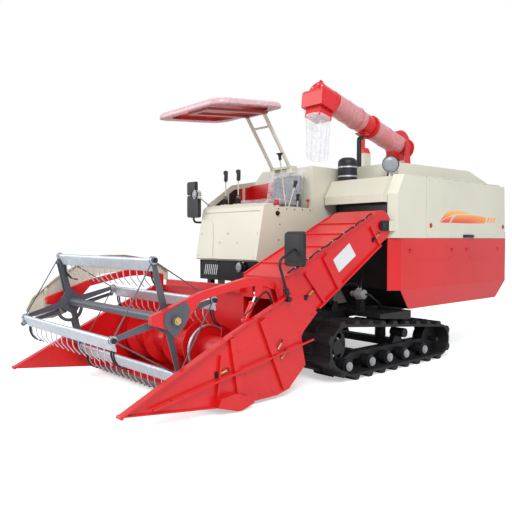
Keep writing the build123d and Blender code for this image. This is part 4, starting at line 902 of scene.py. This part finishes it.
red_tone = (0.62, 0.006, 0.008)
wrapped_red = (0.36, 0.07, 0.055)                   # the roof's red, dulled by its film
guard_skin_x, guard_inside_x = -0.9062, -0.9021     # between them lies the guard's inner face
cradle_split_z, chain_guard_x, bracket_split_y = 2.3302, -1.0095, 0.245
guard_enamel = two_enamels(
    "guard enamel", cream_enamel, red_tone,
    lambda x, y, z: (x > guard_skin_x) * ((x < guard_inside_x) + (z < 1.395) * (z > 1.10)))
cradle_enamel = two_enamels("cradle enamel", cream_enamel, red_tone, lambda x, y, z: z > cradle_split_z)
chain_enamel = two_enamels("chain guard enamel", cream_enamel, red_tone, lambda x, y, z: x > chain_guard_x)
inside_guard = two_enamels(
    "inside guard enamel", guard_enamel, black_tone,
    lambda x, y, z: (x > guard_skin_x) * (x < guard_inside_x) * (y < -0.10) * (z > 1.40))
rail_line = roof_front[2] - roof_front[1] * math.tan(pitch) - 0.034
rail_enamel = two_enamels("rail enamel", cream_enamel, wrapped_red,
                          lambda x, y, z: z - y * math.tan(pitch) > rail_line)
bracket_enamel = two_enamels("bracket enamel", black_enamel, cream_tone,
                             lambda x, y, z: y > bracket_split_y)
pin_enamel = two_enamels("feeder enamel", red_enamel, black_tone,
                         lambda x, y, z: (x > 0.9495) * (y > 0.12) * (y < 0.18) * (z > 1.41) * (z < 1.47))
hood_enamel = two_enamels("hood enamel", cream_enamel, black_tone, lambda x, y, z: (z < 1.70) * (y < 0.70))
lever_enamel = enamel("lever enamel", (0.52, 0.50, 0.40), (0.46, 0.44, 0.36), 0.34, 0.0)
lever_and_grip = two_enamels("lever and grip enamel", lever_enamel, black_tone,
                             lambda x, y, z: (y < -0.5) * (z > 1.925))
print("two-colour enamels mixed")

# %% Parts that leave the table
own_finish = {
    "upper_body": hood_enamel,
    "side_guard": inside_guard,
    "canopy_frame": rail_enamel,
    "feeder_brackets": bracket_enamel,
    "feeder_house": pin_enamel,
    "tube_cradle": cradle_enamel,
    "reel_drive_guard": chain_enamel,
    "control_levers": lever_and_grip,
    "left_mirror": black_plastic,
    "right_mirror": black_plastic,
    "air_cleaner": black_plastic,
    "work_lamps": chrome,
}
for node_name, paint in own_finish.items():
    frame["nodes"][node_name].data.materials[0] = paint
plate_right_x, plate_left_x, plate_low_z, plate_y = -0.9055, -0.50, 1.50, 0.0665
front_plate = [(plate_right_x, plate_low_z), (plate_left_x, plate_low_z),
               (plate_left_x, 1.965), (plate_right_x, 1.945)]
add_piece("tank_front_plate", plate(front_plate, "y", plate_y, plate_y + 0.003), "chassis", red_enamel,
          smooth=False)
print("own finishes:", len(own_finish))

# %% [markdown]
# ## Lamps
#
# A work lamp is a deep cup with a rolled rim and a domed lens in its mouth. Both are lathe work:
# the cup's profile goes up its outside, over the rim and back down its inside, so that it is one
# closed skin, and the lens is a shallow dome.


# %% Lamp cups and lenses
def lamp_cup(centre, axis, radius, depth):
    """A black cup with a rolled rim, turned about the lamp's axis."""
    outside = [(-depth, radius * 0.35), (-depth * 0.98, radius * 0.60), (-depth * 0.5, radius * 0.98)]
    rim = [(0.0, radius * 1.06), (radius * 0.10, radius * 1.12), (radius * 0.16, radius * 1.08),
           (radius * 0.12, radius * 1.01)]
    inside = [(-depth * 0.45, radius * 0.93), (-depth * 0.9, radius * 0.30)]
    return turned(outside + rim + inside, centre, axis, 40, closed=True)


def lens(centre, axis, radius, sides):
    """A shallow dome; the profile is given in shares of the lens's radius."""
    dome = np.array([(0.0, 0.98), (0.06, 0.94), (0.11, 0.80), (0.15, 0.55), (0.17, 0.28), (0.175, 0.03)])
    return turned(dome * radius, centre, axis, sides)


ahead = (0, -1, 0)
front_lamps = [(-0.129, -0.770, 1.026), (-0.860, -0.790, 1.800)]
rims = join(*(lamp_cup(place, ahead, 0.049, 0.055) for place in front_lamps))
add_piece("front_lamp_rims", rims, "chassis", black_plastic)
side_lamp = np.array((0.790, 0.516, 2.087))
side_axis = np.array((1, -1, 0)) / math.sqrt(2)
stem = spline(side_lamp - [(0.05, -0.05, 0.05), (0.05, -0.02, 0.12), (0.035, -0.03, 0.137)], 20)
side_rim = join(lamp_cup(side_lamp, side_axis, 0.079, 0.060), tube(stem, 0.011))
add_piece("side_lamp_rim", side_rim, "chassis", black_plastic)
lenses = [lens(place, ahead, 0.046, 40) for place in front_lamps]
lenses.append(lens(side_lamp, side_axis, 0.076, 48))
add_piece("lamp_lenses", join(*lenses), "chassis", ribbed_lens)
print("lamps dressed:", len(lenses))

# %% [markdown]
# ## Mirrors
#
# A mirror's moulded back is a rounded rectangle that shrinks as it goes forward. A box with a
# Bevel gives one radius everywhere, and the real back has a tight edge and a long soft shoulder,
# so a few outlines, each a little smaller, are stacked. The glass is one more of them, set into
# the driver's side.


# %% Mirror shells and glass
def mirror_glass(x, y, z, wide, high):
    """The glass on a mirror's driver side."""
    return plate(rounded(wide / 2 - 0.008, high / 2 - 0.008, 0.018, (x, z)), "y", y + 0.0003, y + 0.0015)


def mirror_shell(x, y, z, wide, high):
    """The moulded back: rounded outlines shrink as they go forward, so its edge is soft."""
    lip = [(0.000, 0.0), (0.004, -0.003), (0.0, -0.012)]
    shoulder = [(-0.004, -0.030), (-0.012, -0.038), (-0.030, -0.0405)]
    rings = [np.insert(rounded(wide / 2 + grow, high / 2 + grow, 0.026, (x, z)), 1, y + back, axis=1)
             for grow, back in lip + shoulder]
    return solid(np.stack(rings))


left_head = (0.980, -1.075, 1.225, 0.222, 0.285)    # x, y, z, width and height
right_heads = [(-0.991, -0.680, 1.677, 0.210, 0.245), (-1.021, -0.680, 1.880, 0.150, 0.150)]
add_piece("left_mirror_shell", mirror_shell(*left_head), "header", black_plastic)
add_piece("left_mirror_glass", mirror_glass(*left_head), "header", mirror_silver, smooth=False)
right_shells = join(*(mirror_shell(*head) for head in right_heads))
add_piece("right_mirror_shells", right_shells, "chassis", black_plastic)
right_glass = join(*(mirror_glass(*head) for head in right_heads))
add_piece("right_mirror_glass", right_glass, "chassis", mirror_silver, smooth=False)
clamp_profile = [(-0.024, 0.017), (-0.022, 0.021), (0.022, 0.021), (0.024, 0.017)]
add_piece("mirror_clamps", join(turned(clamp_profile, (0.990, -1.174, 0.812), (1, 0, 0), 20),
                                turned(clamp_profile, (1.000, -1.200, 0.878), (0, -0.37, 0.93), 20)),
          "header", black_plastic)
print("mirrors dressed:", 1 + len(right_heads))

# %% [markdown]
# ## The grille under the cowl
#
# Seven slanted slots catch the light on a black plate. Cutting them would change the frame's own
# part, so each is a thin pale strip laid on its face: a painted highlight for the light that the
# slot catches.

# %% Grille slots, as painted highlights
grille_y = -0.7003
slot_low_z, slot_high_z, slot_width, slot_slant = 0.925, 1.035, 0.012, 0.025


def slot(x):
    """One slanted pale strip on the grille's face: a painted highlight where a slot catches the light."""
    corners = [(x, slot_low_z), (x + slot_width, slot_low_z), (x + slot_width + slot_slant, slot_high_z),
               (x + slot_slant, slot_high_z)]
    return plate(corners, "y", grille_y - 0.001, grille_y)


# the pale strips are painted highlights where the slots catch the light
slot_highlights = [slot(x) for x in -0.80 + 0.034 * np.arange(7)]
add_piece("grille_slot_highlights", join(*slot_highlights), "chassis", pale_plate, smooth=False)
print("grille slots:", len(slot_highlights))

# %% [markdown]
# ## Levers and the driver's console
#
# The console's levers end in turned grips, a trumpet and two clubs, on the levers' own lines. The
# two steering levers in the cowl have grips that lean at the top, and no lathe can turn those, so
# they are tubes along a bent curve whose radius is read from a short table. Rubber bellows cover
# their feet: a cone with a sine on its radius.

# %% Grips and bellows
lever_x = 0.069
steering_x = (-0.600, -0.385)
trumpet = [(0.0, 0.0152), (0.15, 0.0165), (0.45, 0.0160), (0.75, 0.020), (0.92, 0.034), (0.99, 0.040),
           (1.02, 0.036), (1.04, 0.004)]
club = [(0.0, 0.0152), (0.1, 0.018), (0.4, 0.0165), (0.7, 0.021), (0.92, 0.0225), (1.02, 0.017),
        (1.07, 0.004)]


def leaning_grip(x, low):
    """A grip whose top leans to the right; its radius is read between a few shares of the way."""
    line = spline([(x, -0.556, low), (x, -0.553, low + 0.050), (x - 0.006, -0.551, low + 0.085),
                   (x - 0.022, -0.550, low + 0.112)], 30)
    places = [0.0, 0.1, 0.5, 0.8, 0.93, 1.0]
    radii = [0.0205, 0.0215, 0.0215, 0.026, 0.022, 0.010]
    return tube(line, np.interp(np.linspace(0, 1, 30), places, radii), 16)


grips = [
    on_line((lever_x - 0.006, -0.372, 2.120), (lever_x - 0.006, -0.380, 2.190), trumpet),
    on_line((lever_x + 0.010, -0.178, 1.850), (lever_x + 0.010, -0.158, 1.920), club),
    on_line((lever_x - 0.006, -0.110, 1.716), (lever_x - 0.006, -0.108, 1.786), club),
    *(leaning_grip(x, low) for x, low in zip(steering_x, (1.940, 1.934))),
]
add_piece("lever_grips", join(*grips), "chassis", black_plastic)
steps = np.linspace(0.0, 1.0, 49)
ribs = [(step, 0.032 - 0.014 * step + 0.003 * math.sin(step * 44.0)) for step in steps]
bellows = [on_line((x, -0.560, 1.680), (x, -0.556, 1.775), ribs) for x in steering_x]
add_piece("lever_bellows", join(*bellows), "chassis", track_rubber)
print("levers:", len(grips), "grips and", len(bellows), "bellows")

# %% [markdown]
# ## Signal lamp, knob, key and screws
#
# Small turned things on the console, and the screws that hold its sheet and the cowl's. They are
# what gives the plain panels their scale, so they are real shapes and not a drawn pattern.

# %% Console fittings
up, left = (0, 0, 1), (1, 0, 0)
console_top_z, console_side_x = 1.6402, 0.1102
signal_x, signal_y = 0.070, -0.430
signal_dome = [(0.0, 0.034), (0.010, 0.034), (0.011, 0.028), (0.040, 0.027), (0.052, 0.022), (0.058, 0.012),
               (0.060, 0.002)]
add_piece("signal_lamp", turned(signal_dome, (signal_x, signal_y, 1.655), up), "chassis", red_lens)
base_profile = [(0.0, 0.040), (0.012, 0.040), (0.016, 0.034)]
signal_base = turned(base_profile, (signal_x, signal_y, console_top_z), up)
add_piece("signal_base", signal_base, "chassis", zinc)
knob_x, knob_y = 0.088, 0.020
knob = [(0.0, 0.009), (0.012, 0.009), (0.013, 0.020), (0.030, 0.022), (0.036, 0.016), (0.038, 0.003)]
knob_stem = turned([(0.0, 0.006), (0.070, 0.006)], (knob_x, knob_y, console_top_z), up, 12)
add_piece("red_knob", join(knob_stem, turned(knob, (knob_x, knob_y, 1.700), up)), "chassis", red_lens)
key_profile = [(0.0, 0.026), (0.006, 0.025), (0.008, 0.017), (0.020, 0.015), (0.021, 0.003)]
key_bow = plate(rectangle((-0.462, 1.560), (-0.448, 1.584)), "x", 0.130, 0.140)
key = join(turned(key_profile, (console_side_x, -0.455, 1.572), left), key_bow)
add_piece("key_switch", key, "chassis", black_plastic)
cowl_low, cowl_way = np.array((0.0, -0.7462, 1.103)), np.array((0.0, 0.1048, 0.5368))
cowl_screws = [cowl_low + share * cowl_way + (x, 0.0, 0.0) for x, share in
               ((-0.86, 0.06), (0.07, 0.06), (-0.22, 0.32), (-0.52, 0.32), (-0.40, 0.5), (0.07, 0.5),
                (-0.86, 0.5))]
add_piece("cowl_bolts", bolts(cowl_screws, (0, -0.98, 0.19), 0.007, 0.005), "chassis", cream_enamel,
          smooth=False)
console_screws = np.vstack([between((0.110, -0.44, 1.618), (0.110, 0.03, 1.618), 5),
                            between((0.110, -0.44, 1.30), (0.110, 0.03, 1.20), 2), [(0.110, -0.42, 1.46)]])
add_piece("console_bolts", bolts(console_screws, left, 0.0055, 0.004), "chassis", black_enamel, smooth=False)
print("driver's station:", len(cowl_screws) + len(console_screws), "screws")

# %% [markdown]
# ## Plate and latches on the header
#
# The feeder's left side carries a blank plate, and brass springs pull its latches shut. The same
# latches hold the divider's covers. A latch is a helix, a hook on a short curve and a base; the
# five of them differ only in place and lean, so a table and one function make them.

# %% Plate and spring latches
feeder_side, divider_side = 0.949, 0.965            # the x of the two left skins
blank = [(-0.570, 1.122), (-0.345, 1.272), (-0.248, 1.155), (-0.489, 1.007)]
feeder_plate = plate(blank, "x", feeder_side + 0.0001, feeder_side + 0.0012)
add_piece("feeder_plate", feeder_plate, "header", pale_plate, smooth=False)


def latch(x, y, z, lean):
    """An over-centre latch's spring, hook and shank, along a line that leans by an angle."""
    along, rise = np.array((0.0, math.cos(lean), math.sin(lean))), np.array((0.0, 0.0, 1.0))
    foot = np.array((x + 0.013, y, z))
    head = foot + along * 0.110
    spring = tube(coil(foot + along * 0.028, foot + along * 0.088, 0.0090, 9), 0.0024, 6)
    bend_back = [foot + along * 0.088, head, head + rise * 0.012, head - along * 0.02 + rise * 0.02]
    hook = tube(spline(bend_back, 24), 0.0036, 8)
    shank = tube(spline([foot - along * 0.01, foot + along * 0.03], 6), 0.0040, 8)
    return spring, hook, shank


latch_rows = (                                      # the skin's x, y, z and lean
    (feeder_side, -0.925, 0.808, 0.62),
    (divider_side, -1.902, 0.300, 0.2),
    (divider_side, -1.299, 0.388, 0.9),
    (divider_side, -1.262, 0.306, 0.9),
    (feeder_side, 0.010, 1.300, 0.62),
)
latches = [latch(*row) for row in latch_rows]
add_piece("latch_springs", join(*(parts[0] for parts in latches)), "header", brass)
add_piece("latch_hooks", join(*(part for parts in latches for part in parts[1:])), "header", black_enamel)
bases = [plate(rectangle((y - 0.018, z - 0.024), (y + 0.018, z + 0.024)), "x", x + 0.0002, x + 0.006)
         for x, y, z, _ in latch_rows]
add_piece("latch_bases", join(*bases), "header", black_enamel, smooth=False, bevel=0.001)
print("latches:", len(latches))

# %% [markdown]
# ## Hoses on the header
#
# A hydraulic hose runs clipped along the feeder's top edge, and another loops to the reel's lift
# cylinder. Between clips a hose is never quite straight, so two slow sines shake its line; the
# loop is a smooth curve through the points that a fitter would choose.

# %% Hoses and clips
share = np.linspace(0.0, 1.0, 160)
hose_line = np.column_stack([
    0.9560 + 0.003 * np.sin(share * 31),
    -1.150 + 1.130 * share,
    1.028 + 0.5245 * share + 0.006 * np.sin(share * 47) * np.sin(share * 9),
])
add_piece("feeder_hose", tube(hose_line, 0.0065, 10), "header", track_rubber)
hose_way, clip_profile = (0, 0.907, 0.421), [(-0.006, 0.0085), (0.006, 0.0085)]
clips = [turned(clip_profile, place, hose_way, 12) for place in hose_line[12::22]]
add_piece("hose_clips", join(*clips), "header", zinc)
lift_route = [(0.905, -1.580, 0.700), (0.925, -1.520, 0.760), (0.930, -1.420, 0.860), (0.930, -1.360, 0.880),
              (0.925, -1.310, 0.820), (0.925, -1.300, 0.740), (0.938, -1.330, 0.690), (0.949, -1.360, 0.680)]
add_piece("reel_lift_hose", tube(spline(lift_route, 60), 0.0075, 10), "header", track_rubber)
print("header hoses: 2, with", len(clips), "clips")

# %% [markdown]
# ## Bolts along the header's sides
#
# Rows of small heads follow the folded edges of the dividers and the feeder. Each row is a start,
# an end and a count, and all the rows of a side are one piece.

# %% Bolt rows
left_rows = (                                       # the skin's x, then start, end and count
    (divider_side, (-2.35, 0.285), (-1.83, 0.528), 5),
    (divider_side, (-1.72, 0.585), (-1.10, 0.820), 6),
    (divider_side, (-1.60, 0.075), (-1.33, 0.075), 3),
    (divider_side, (-1.02, 0.52), (-0.86, 0.66), 3),
    (divider_side, (-1.57, 0.16), (-1.69, 0.45), 4),
    (feeder_side, (-0.62, 1.02), (-0.44, 0.925), 3),
)
right_rows = ((-divider_side, (-2.35, 0.285), (-1.83, 0.528), 5),
              (-divider_side, (-1.72, 0.585), (-1.22, 0.790), 5))
for name, rows, way in (("side_bolts", left_rows, 1), ("right_side_bolts", right_rows, -1)):
    centres = np.vstack([between((x, *start), (x, *end), count) for x, start, end, count in rows])
    heads = bolts(centres, (way, 0, 0), 0.0065, 0.005)
    add_piece(name, heads, "header", red_enamel, smooth=False)
    print(name, len(centres))

# %% [markdown]
# ## Reel
#
# Each bar ends in thick black tines that curl back further than the wires between them, and in zinc
# collars. A thin black disc on each bar's end is painted shade: it stands for the dark inside the hole
# there. The four bars are one figure turned by a quarter each time, so a loop makes them, and each
# piece rides on its own bar, so that it hangs level as the reel turns.

# %% End tines, collars and the painted shade in the bar ends
reel_y, reel_z, reel_radius, first_bar = -2.235, 0.729, 0.440, 14
tine_curl = np.array([(0.030, -0.078), (0.030, -0.120), (0.052, -0.170), (0.092, -0.206), (0.140, -0.222)])
tine_radius = np.linspace(0.0078, 0.0050, 24)
collar = [(-0.004, 0.019), (-0.004, 0.030), (0.004, 0.030), (0.004, 0.019)]
# the profile of a thin black disc: painted shade, for the dark hole in a bar's end
cap = [(0.0002, 0.020), (0.0012, 0.020), (0.0014, 0.014), (0.0015, 0.002)]


def end_tine(x, y, z):
    """A thick tine that hangs from its bar and curls back; it thins towards its tip."""
    return tube(spline(np.insert(tine_curl + (y, z), 0, x, axis=1), 24), tine_radius, 8)


for number in range(4):
    angle = math.radians(first_bar + 90 * number)
    y = reel_y + reel_radius * math.cos(angle)
    z = reel_z + reel_radius * math.sin(angle)
    bar = f"tine_bar_{number + 1}"
    tines = [end_tine(x, y, z) for x in (0.770, 0.735, -0.735, -0.770)]
    add_piece(f"end_tines_{number + 1}", join(*tines), bar, black_plastic)
    collars = [turned(collar, (x, y, z), left, 24, closed=True) for x in (0.819, -0.796, 0.796)]
    add_piece(f"bar_collars_{number + 1}", join(*collars), bar, zinc)
    # a black disc on the bar's end: painted shade of the hole there
    add_piece(f"bar_end_hole_shade_{number + 1}", turned(cap, (0.838, y, z), left, 20), bar, black_plastic)
hub_x = 0.9492
hub = [(0.0, 0.030), (0.010, 0.030), (0.011, 0.018), (0.022, 0.017), (0.023, 0.004)]
hub_nuts = [turned(hub, (side * hub_x, reel_y, reel_z), (side, 0, 0), 6) for side in (1, -1)]
print("reel: four bars dressed")

# %% [markdown]
# ## The crop auger's disc
#
# A red disc stands on the crop auger, and it has a bright steel rim. Two closed sections turned
# about the auger's axis make them; they ride on the auger and turn with it.

# %% Disc, rim and the reel's hub nuts
auger_end = (0.250, -1.440, 0.335)
disc_section = [(-0.003, 0.095), (-0.003, 0.203), (0.003, 0.203), (0.003, 0.095)]
add_piece("auger_disc", turned(disc_section, auger_end, left, 72, closed=True), "crop_auger", red_enamel)
rim_section = [(-0.013, 0.201), (-0.013, 0.2156), (0.013, 0.2156), (0.013, 0.201)]
add_piece("auger_rim", turned(rim_section, auger_end, left, 72, closed=True), "crop_auger", zinc)
add_piece("reel_hub_nuts", join(*hub_nuts), "reel_arms", brass, smooth=False)
print("auger disc and", len(hub_nuts), "hub nuts")

# %% [markdown]
# ## Undercarriage
#
# Rings of nuts hold the rollers' caps, and larger bolts the sprockets. A ring is a circle of
# places round each cap's centre, added to every centre at once.

# %% Nuts and bolts of the tracks
cap_ys, roller_z = (-0.330, 0.020, 0.305, 0.595, 0.940), 0.125
left_cap_x, right_cap_x = 0.952, -0.832
rearward, upward = np.array((0, 1, 0)), np.array((0, 0, 1))


def cap_nuts(x, way):
    """Six nuts round the middle of every roller cap on one side."""
    centres = np.array([(x, y, roller_z) for y in cap_ys])[:, None, :]
    return bolts((centres + circle(rearward, upward, 6) * 0.033).reshape(-1, 3), (way, 0, 0), 0.0045, 0.004)


roller_nuts = join(cap_nuts(left_cap_x, 1), cap_nuts(right_cap_x, -1))
add_piece("roller_nuts", roller_nuts, "chassis", zinc, smooth=False)
sprocket_ring = circle(rearward, upward, 8) * 0.088 + (0.0, -0.424, 0.310)
sprocket_bolts = [bolts(sprocket_ring + (x, 0, 0), (way, 0, 0), 0.010, 0.009)
                  for x, way in ((0.825, 1), (-0.705, -1))]
add_piece("sprocket_bolts", join(*sprocket_bolts), "chassis", zinc, smooth=False)
print("undercarriage:", 12 * len(cap_ys), "nuts")

# %% [markdown]
# ## Hoses at the pump
#
# Three hydraulic hoses leave the pump through steel fittings and go into the body. Each leaves
# straight out of its fitting and bends away from there, on a curve through a few points.

# %% Pump hoses and fittings
top_port, second_port, side_port = (0.650, 0.205, 0.790), (0.620, 0.205, 0.790), (0.700, 0.205, 0.745)
pump_routes = [
    [top_port, (0.650, 0.205, 0.840), (0.630, 0.260, 0.900), (0.560, 0.380, 0.960), (0.500, 0.430, 1.000)],
    [side_port, (0.760, 0.205, 0.745), (0.790, 0.250, 0.700), (0.760, 0.380, 0.640), (0.700, 0.460, 0.590)],
    [second_port, (0.610, 0.180, 0.850), (0.540, 0.100, 0.840), (0.500, -0.020, 0.760),
     (0.480, -0.050, 0.690)],
]
pump_hoses = [tube(spline(route, 50), 0.011, 10) for route in pump_routes]
add_piece("pump_hoses", join(*pump_hoses), "chassis", track_rubber)
fitting = [(0.0, 0.016), (0.018, 0.016), (0.019, 0.013), (0.034, 0.013)]
fittings = [turned(fitting, port, way, 6)
            for port, way in ((top_port, up), (second_port, up), (side_port, left))]
add_piece("pump_fittings", join(*fittings), "chassis", zinc, smooth=False)
print("pump hoses:", len(pump_hoses))

# %% [markdown]
# ## The unloading tube
#
# The tube rests pitched up towards the front. Everything on it is placed by its own three
# distances, along, across and up, which one function turns into the machine's frame. It carries
# weld beads, two lengths of wound film, and the bolts of its end plate and chute.


# %% Places on the tube, and its welds
swing_x, swing_y, boom_z = 0.020, 1.765, 2.500      # where the tube's line meets its swing axis
boom_pitch = math.radians(15.1)


def on_boom(along, across=0.0, above=0.0):
    """A point of the resting tube, by its distances from the swing axis."""
    return np.array((swing_x + across, swing_y - along * math.cos(boom_pitch) + above * math.sin(boom_pitch),
                     boom_z + along * math.sin(boom_pitch) + above * math.cos(boom_pitch)))


boom_axis = on_boom(1) - on_boom(0)
boom_up = on_boom(0, 0, 1) - on_boom(0)
weld = [(0.0, 0.1225), (0.004, 0.127), (0.010, 0.128), (0.016, 0.1225)]
welds = [turned(weld, on_boom(along), boom_axis, 48) for along in (0.30, 1.10, 1.36)]
add_piece("boom_welds", join(*welds), "unload_boom", red_enamel)
print("boom:", len(welds), "welds")


# %% Film wound on the tube
def tube_film(name, start, end, radius):
    """Film wound tight round the tube: a cylinder whose radius rises a little in slow waves."""
    turns = np.linspace(0, 2 * math.pi, 120, endpoint=False)
    along, turn = np.meshgrid(np.linspace(start, end, 60), turns, indexing="ij")
    far = radius + 0.0006 * np.sin(5 * turn + 40 * along) * np.sin(90 * along)
    ring = (far * np.cos(turn))[..., None] * (1.0, 0.0, 0.0) + (far * np.sin(turn))[..., None] * boom_up
    points = on_boom(0) + along[..., None] * boom_axis + ring
    made = add_piece(name, sheet_of(points, True), "unload_boom", wound_film)
    print(name, round(2 * math.pi * radius, 3), "by", round(end - start, 3), "m")


tube_film("tube_film_rear", 0.04, 0.58, 0.1295)
tube_film("tube_film_front", 0.81, 1.33, 0.1335)

# %% Bolts of the tube and bands of the air cleaner
end_ring = circle(unit(np.cross(boom_axis, (1, 0, 0))), np.array((1.0, 0, 0)), 8) * 0.098 + on_boom(1.600)
add_piece("boom_end_bolts", bolts(end_ring, boom_axis, 0.007, 0.006), "unload_boom", zinc, smooth=False)
chute_side = 0.150
chute_rows = np.vstack([
    between(on_boom(1.42, chute_side, -0.02), on_boom(1.42, chute_side, -0.145), 3),
    between(on_boom(1.62, chute_side, -0.03), on_boom(1.61, chute_side, -0.145), 3),
])
add_piece("chute_bolts", bolts(chute_rows, left, 0.007, 0.005), "unload_boom", red_enamel, smooth=False)
band_profile = [(0.0, 0.1052), (0.002, 0.1085), (0.016, 0.1085), (0.018, 0.1052)]
cleaner_bands = [turned(band_profile, (0.262, 0.466, z), up, 48) for z in (1.985, 2.085)]
add_piece("cleaner_bands", join(*cleaner_bands), "chassis", zinc)
print("boom bolts:", len(end_ring) + len(chute_rows))

# %% [markdown]
# ## Studio
#
# A pale floor, a pale sky and two large soft lamps. A single strong lamp would show the shapes
# too, but in black and white; large lamps and a bright sky let the red stay red in its shade. The
# floor gives off a little light to the camera alone, so that it fades into the sky.


# %% Floor
def flat_square(name, half, height):
    """A square of that half side, level, at that height."""
    mesh = bpy.data.meshes.new(name)
    corners = [(-half, -half, height), (half, -half, height), (half, half, height), (-half, half, height)]
    mesh.from_pydata(corners, [], [(0, 1, 2, 3)])
    made = bpy.data.objects.new(name, mesh)
    bpy.context.scene.collection.objects.link(made)
    return made


floor = flat_square("floor", 60.0, -0.001)
floor_paint = bpy.data.materials.new("floor")
floor_paint.use_nodes = True
floor_tree = Tree(floor_paint)
floor_surface = floor_tree.nodes["Principled BSDF"]
floor_tree.feed(floor_surface.inputs["Base Color"], (0.86, 0.86, 0.86))
floor_tree.feed(floor_surface.inputs["Roughness"], 0.9)
seen = floor_tree.node("ShaderNodeLightPath", output="Is Camera Ray")
floor_tree.feed(floor_surface.inputs["Emission Color"], (1.0, 1.0, 1.0))
floor_tree.feed(floor_surface.inputs["Emission Strength"], seen * 0.45)
floor.data.materials.append(floor_paint)
print("floor laid")

# %% Sky
world = bpy.data.worlds.new("studio")
world.use_nodes = True
bpy.context.scene.world = world
sky = Tree(world)
path = sky.nodes.new("ShaderNodeLightPath")
glossy = Wire(sky, path.outputs["Is Glossy Ray"])
through = Wire(sky, path.outputs["Is Transmission Ray"])
seen_direct = Wire(sky, path.outputs["Is Camera Ray"])
straight = sky.node("ShaderNodeMath", {"operation": "MAXIMUM"}, {0: seen_direct, 1: through})
sky.feed(sky.nodes["Background"].inputs["Color"], sky.mix(straight, (0.93, 0.95, 1.0), (1.0, 1.0, 1.0)))
sky.feed(sky.nodes["Background"].inputs["Strength"], 0.75 + straight * 0.25 + glossy * 0.05)
print("sky ready")


# %% Lamps
def soft_lamp(name, place, aim, size, power):
    """A square area lamp that faces its aim."""
    data = bpy.data.lights.new(name, "AREA")
    data.shape = "SQUARE"
    data.size = size
    data.energy = power
    lamp = bpy.data.objects.new(name, data)
    away = np.array(place) - np.array(aim)
    away = away / np.linalg.norm(away)
    lamp.location = place
    lamp.rotation_euler = (math.acos(away[2]), 0.0, math.atan2(away[1], away[0]) + math.pi / 2)
    bpy.context.scene.collection.objects.link(lamp)
    return lamp


soft_lamp("key", (7.5, -5.5, 8.5), (0.0, 0.0, 1.0), 5.0, 860.0)
soft_lamp("fill", (-6.5, -8.0, 5.0), (0.0, -0.5, 1.0), 6.0, 380.0)
print("two lamps hung")

# %% [markdown]
# ## Camera
#
# The camera stands at the height of a person's chin, ahead of the machine's left front corner,
# and looks down by less than two degrees, so the body's upright edges stay upright.

# %% Camera
camera_data = bpy.data.cameras.new("camera")
camera_data.lens = 40.34
camera_data.sensor_width = 36.0
camera = bpy.data.objects.new("camera", camera_data)
camera.location = (4.3187, -4.4958, 1.300)
look_down, heading = math.radians(1.6), math.radians(48.3)
camera.rotation_euler = (math.radians(90.0) - look_down, 0.0, heading)
bpy.context.scene.collection.objects.link(camera)
bpy.context.scene.camera = camera
bpy.context.scene.view_settings.view_transform = "Standard"
print("camera placed", tuple(round(value, 2) for value in camera.location))
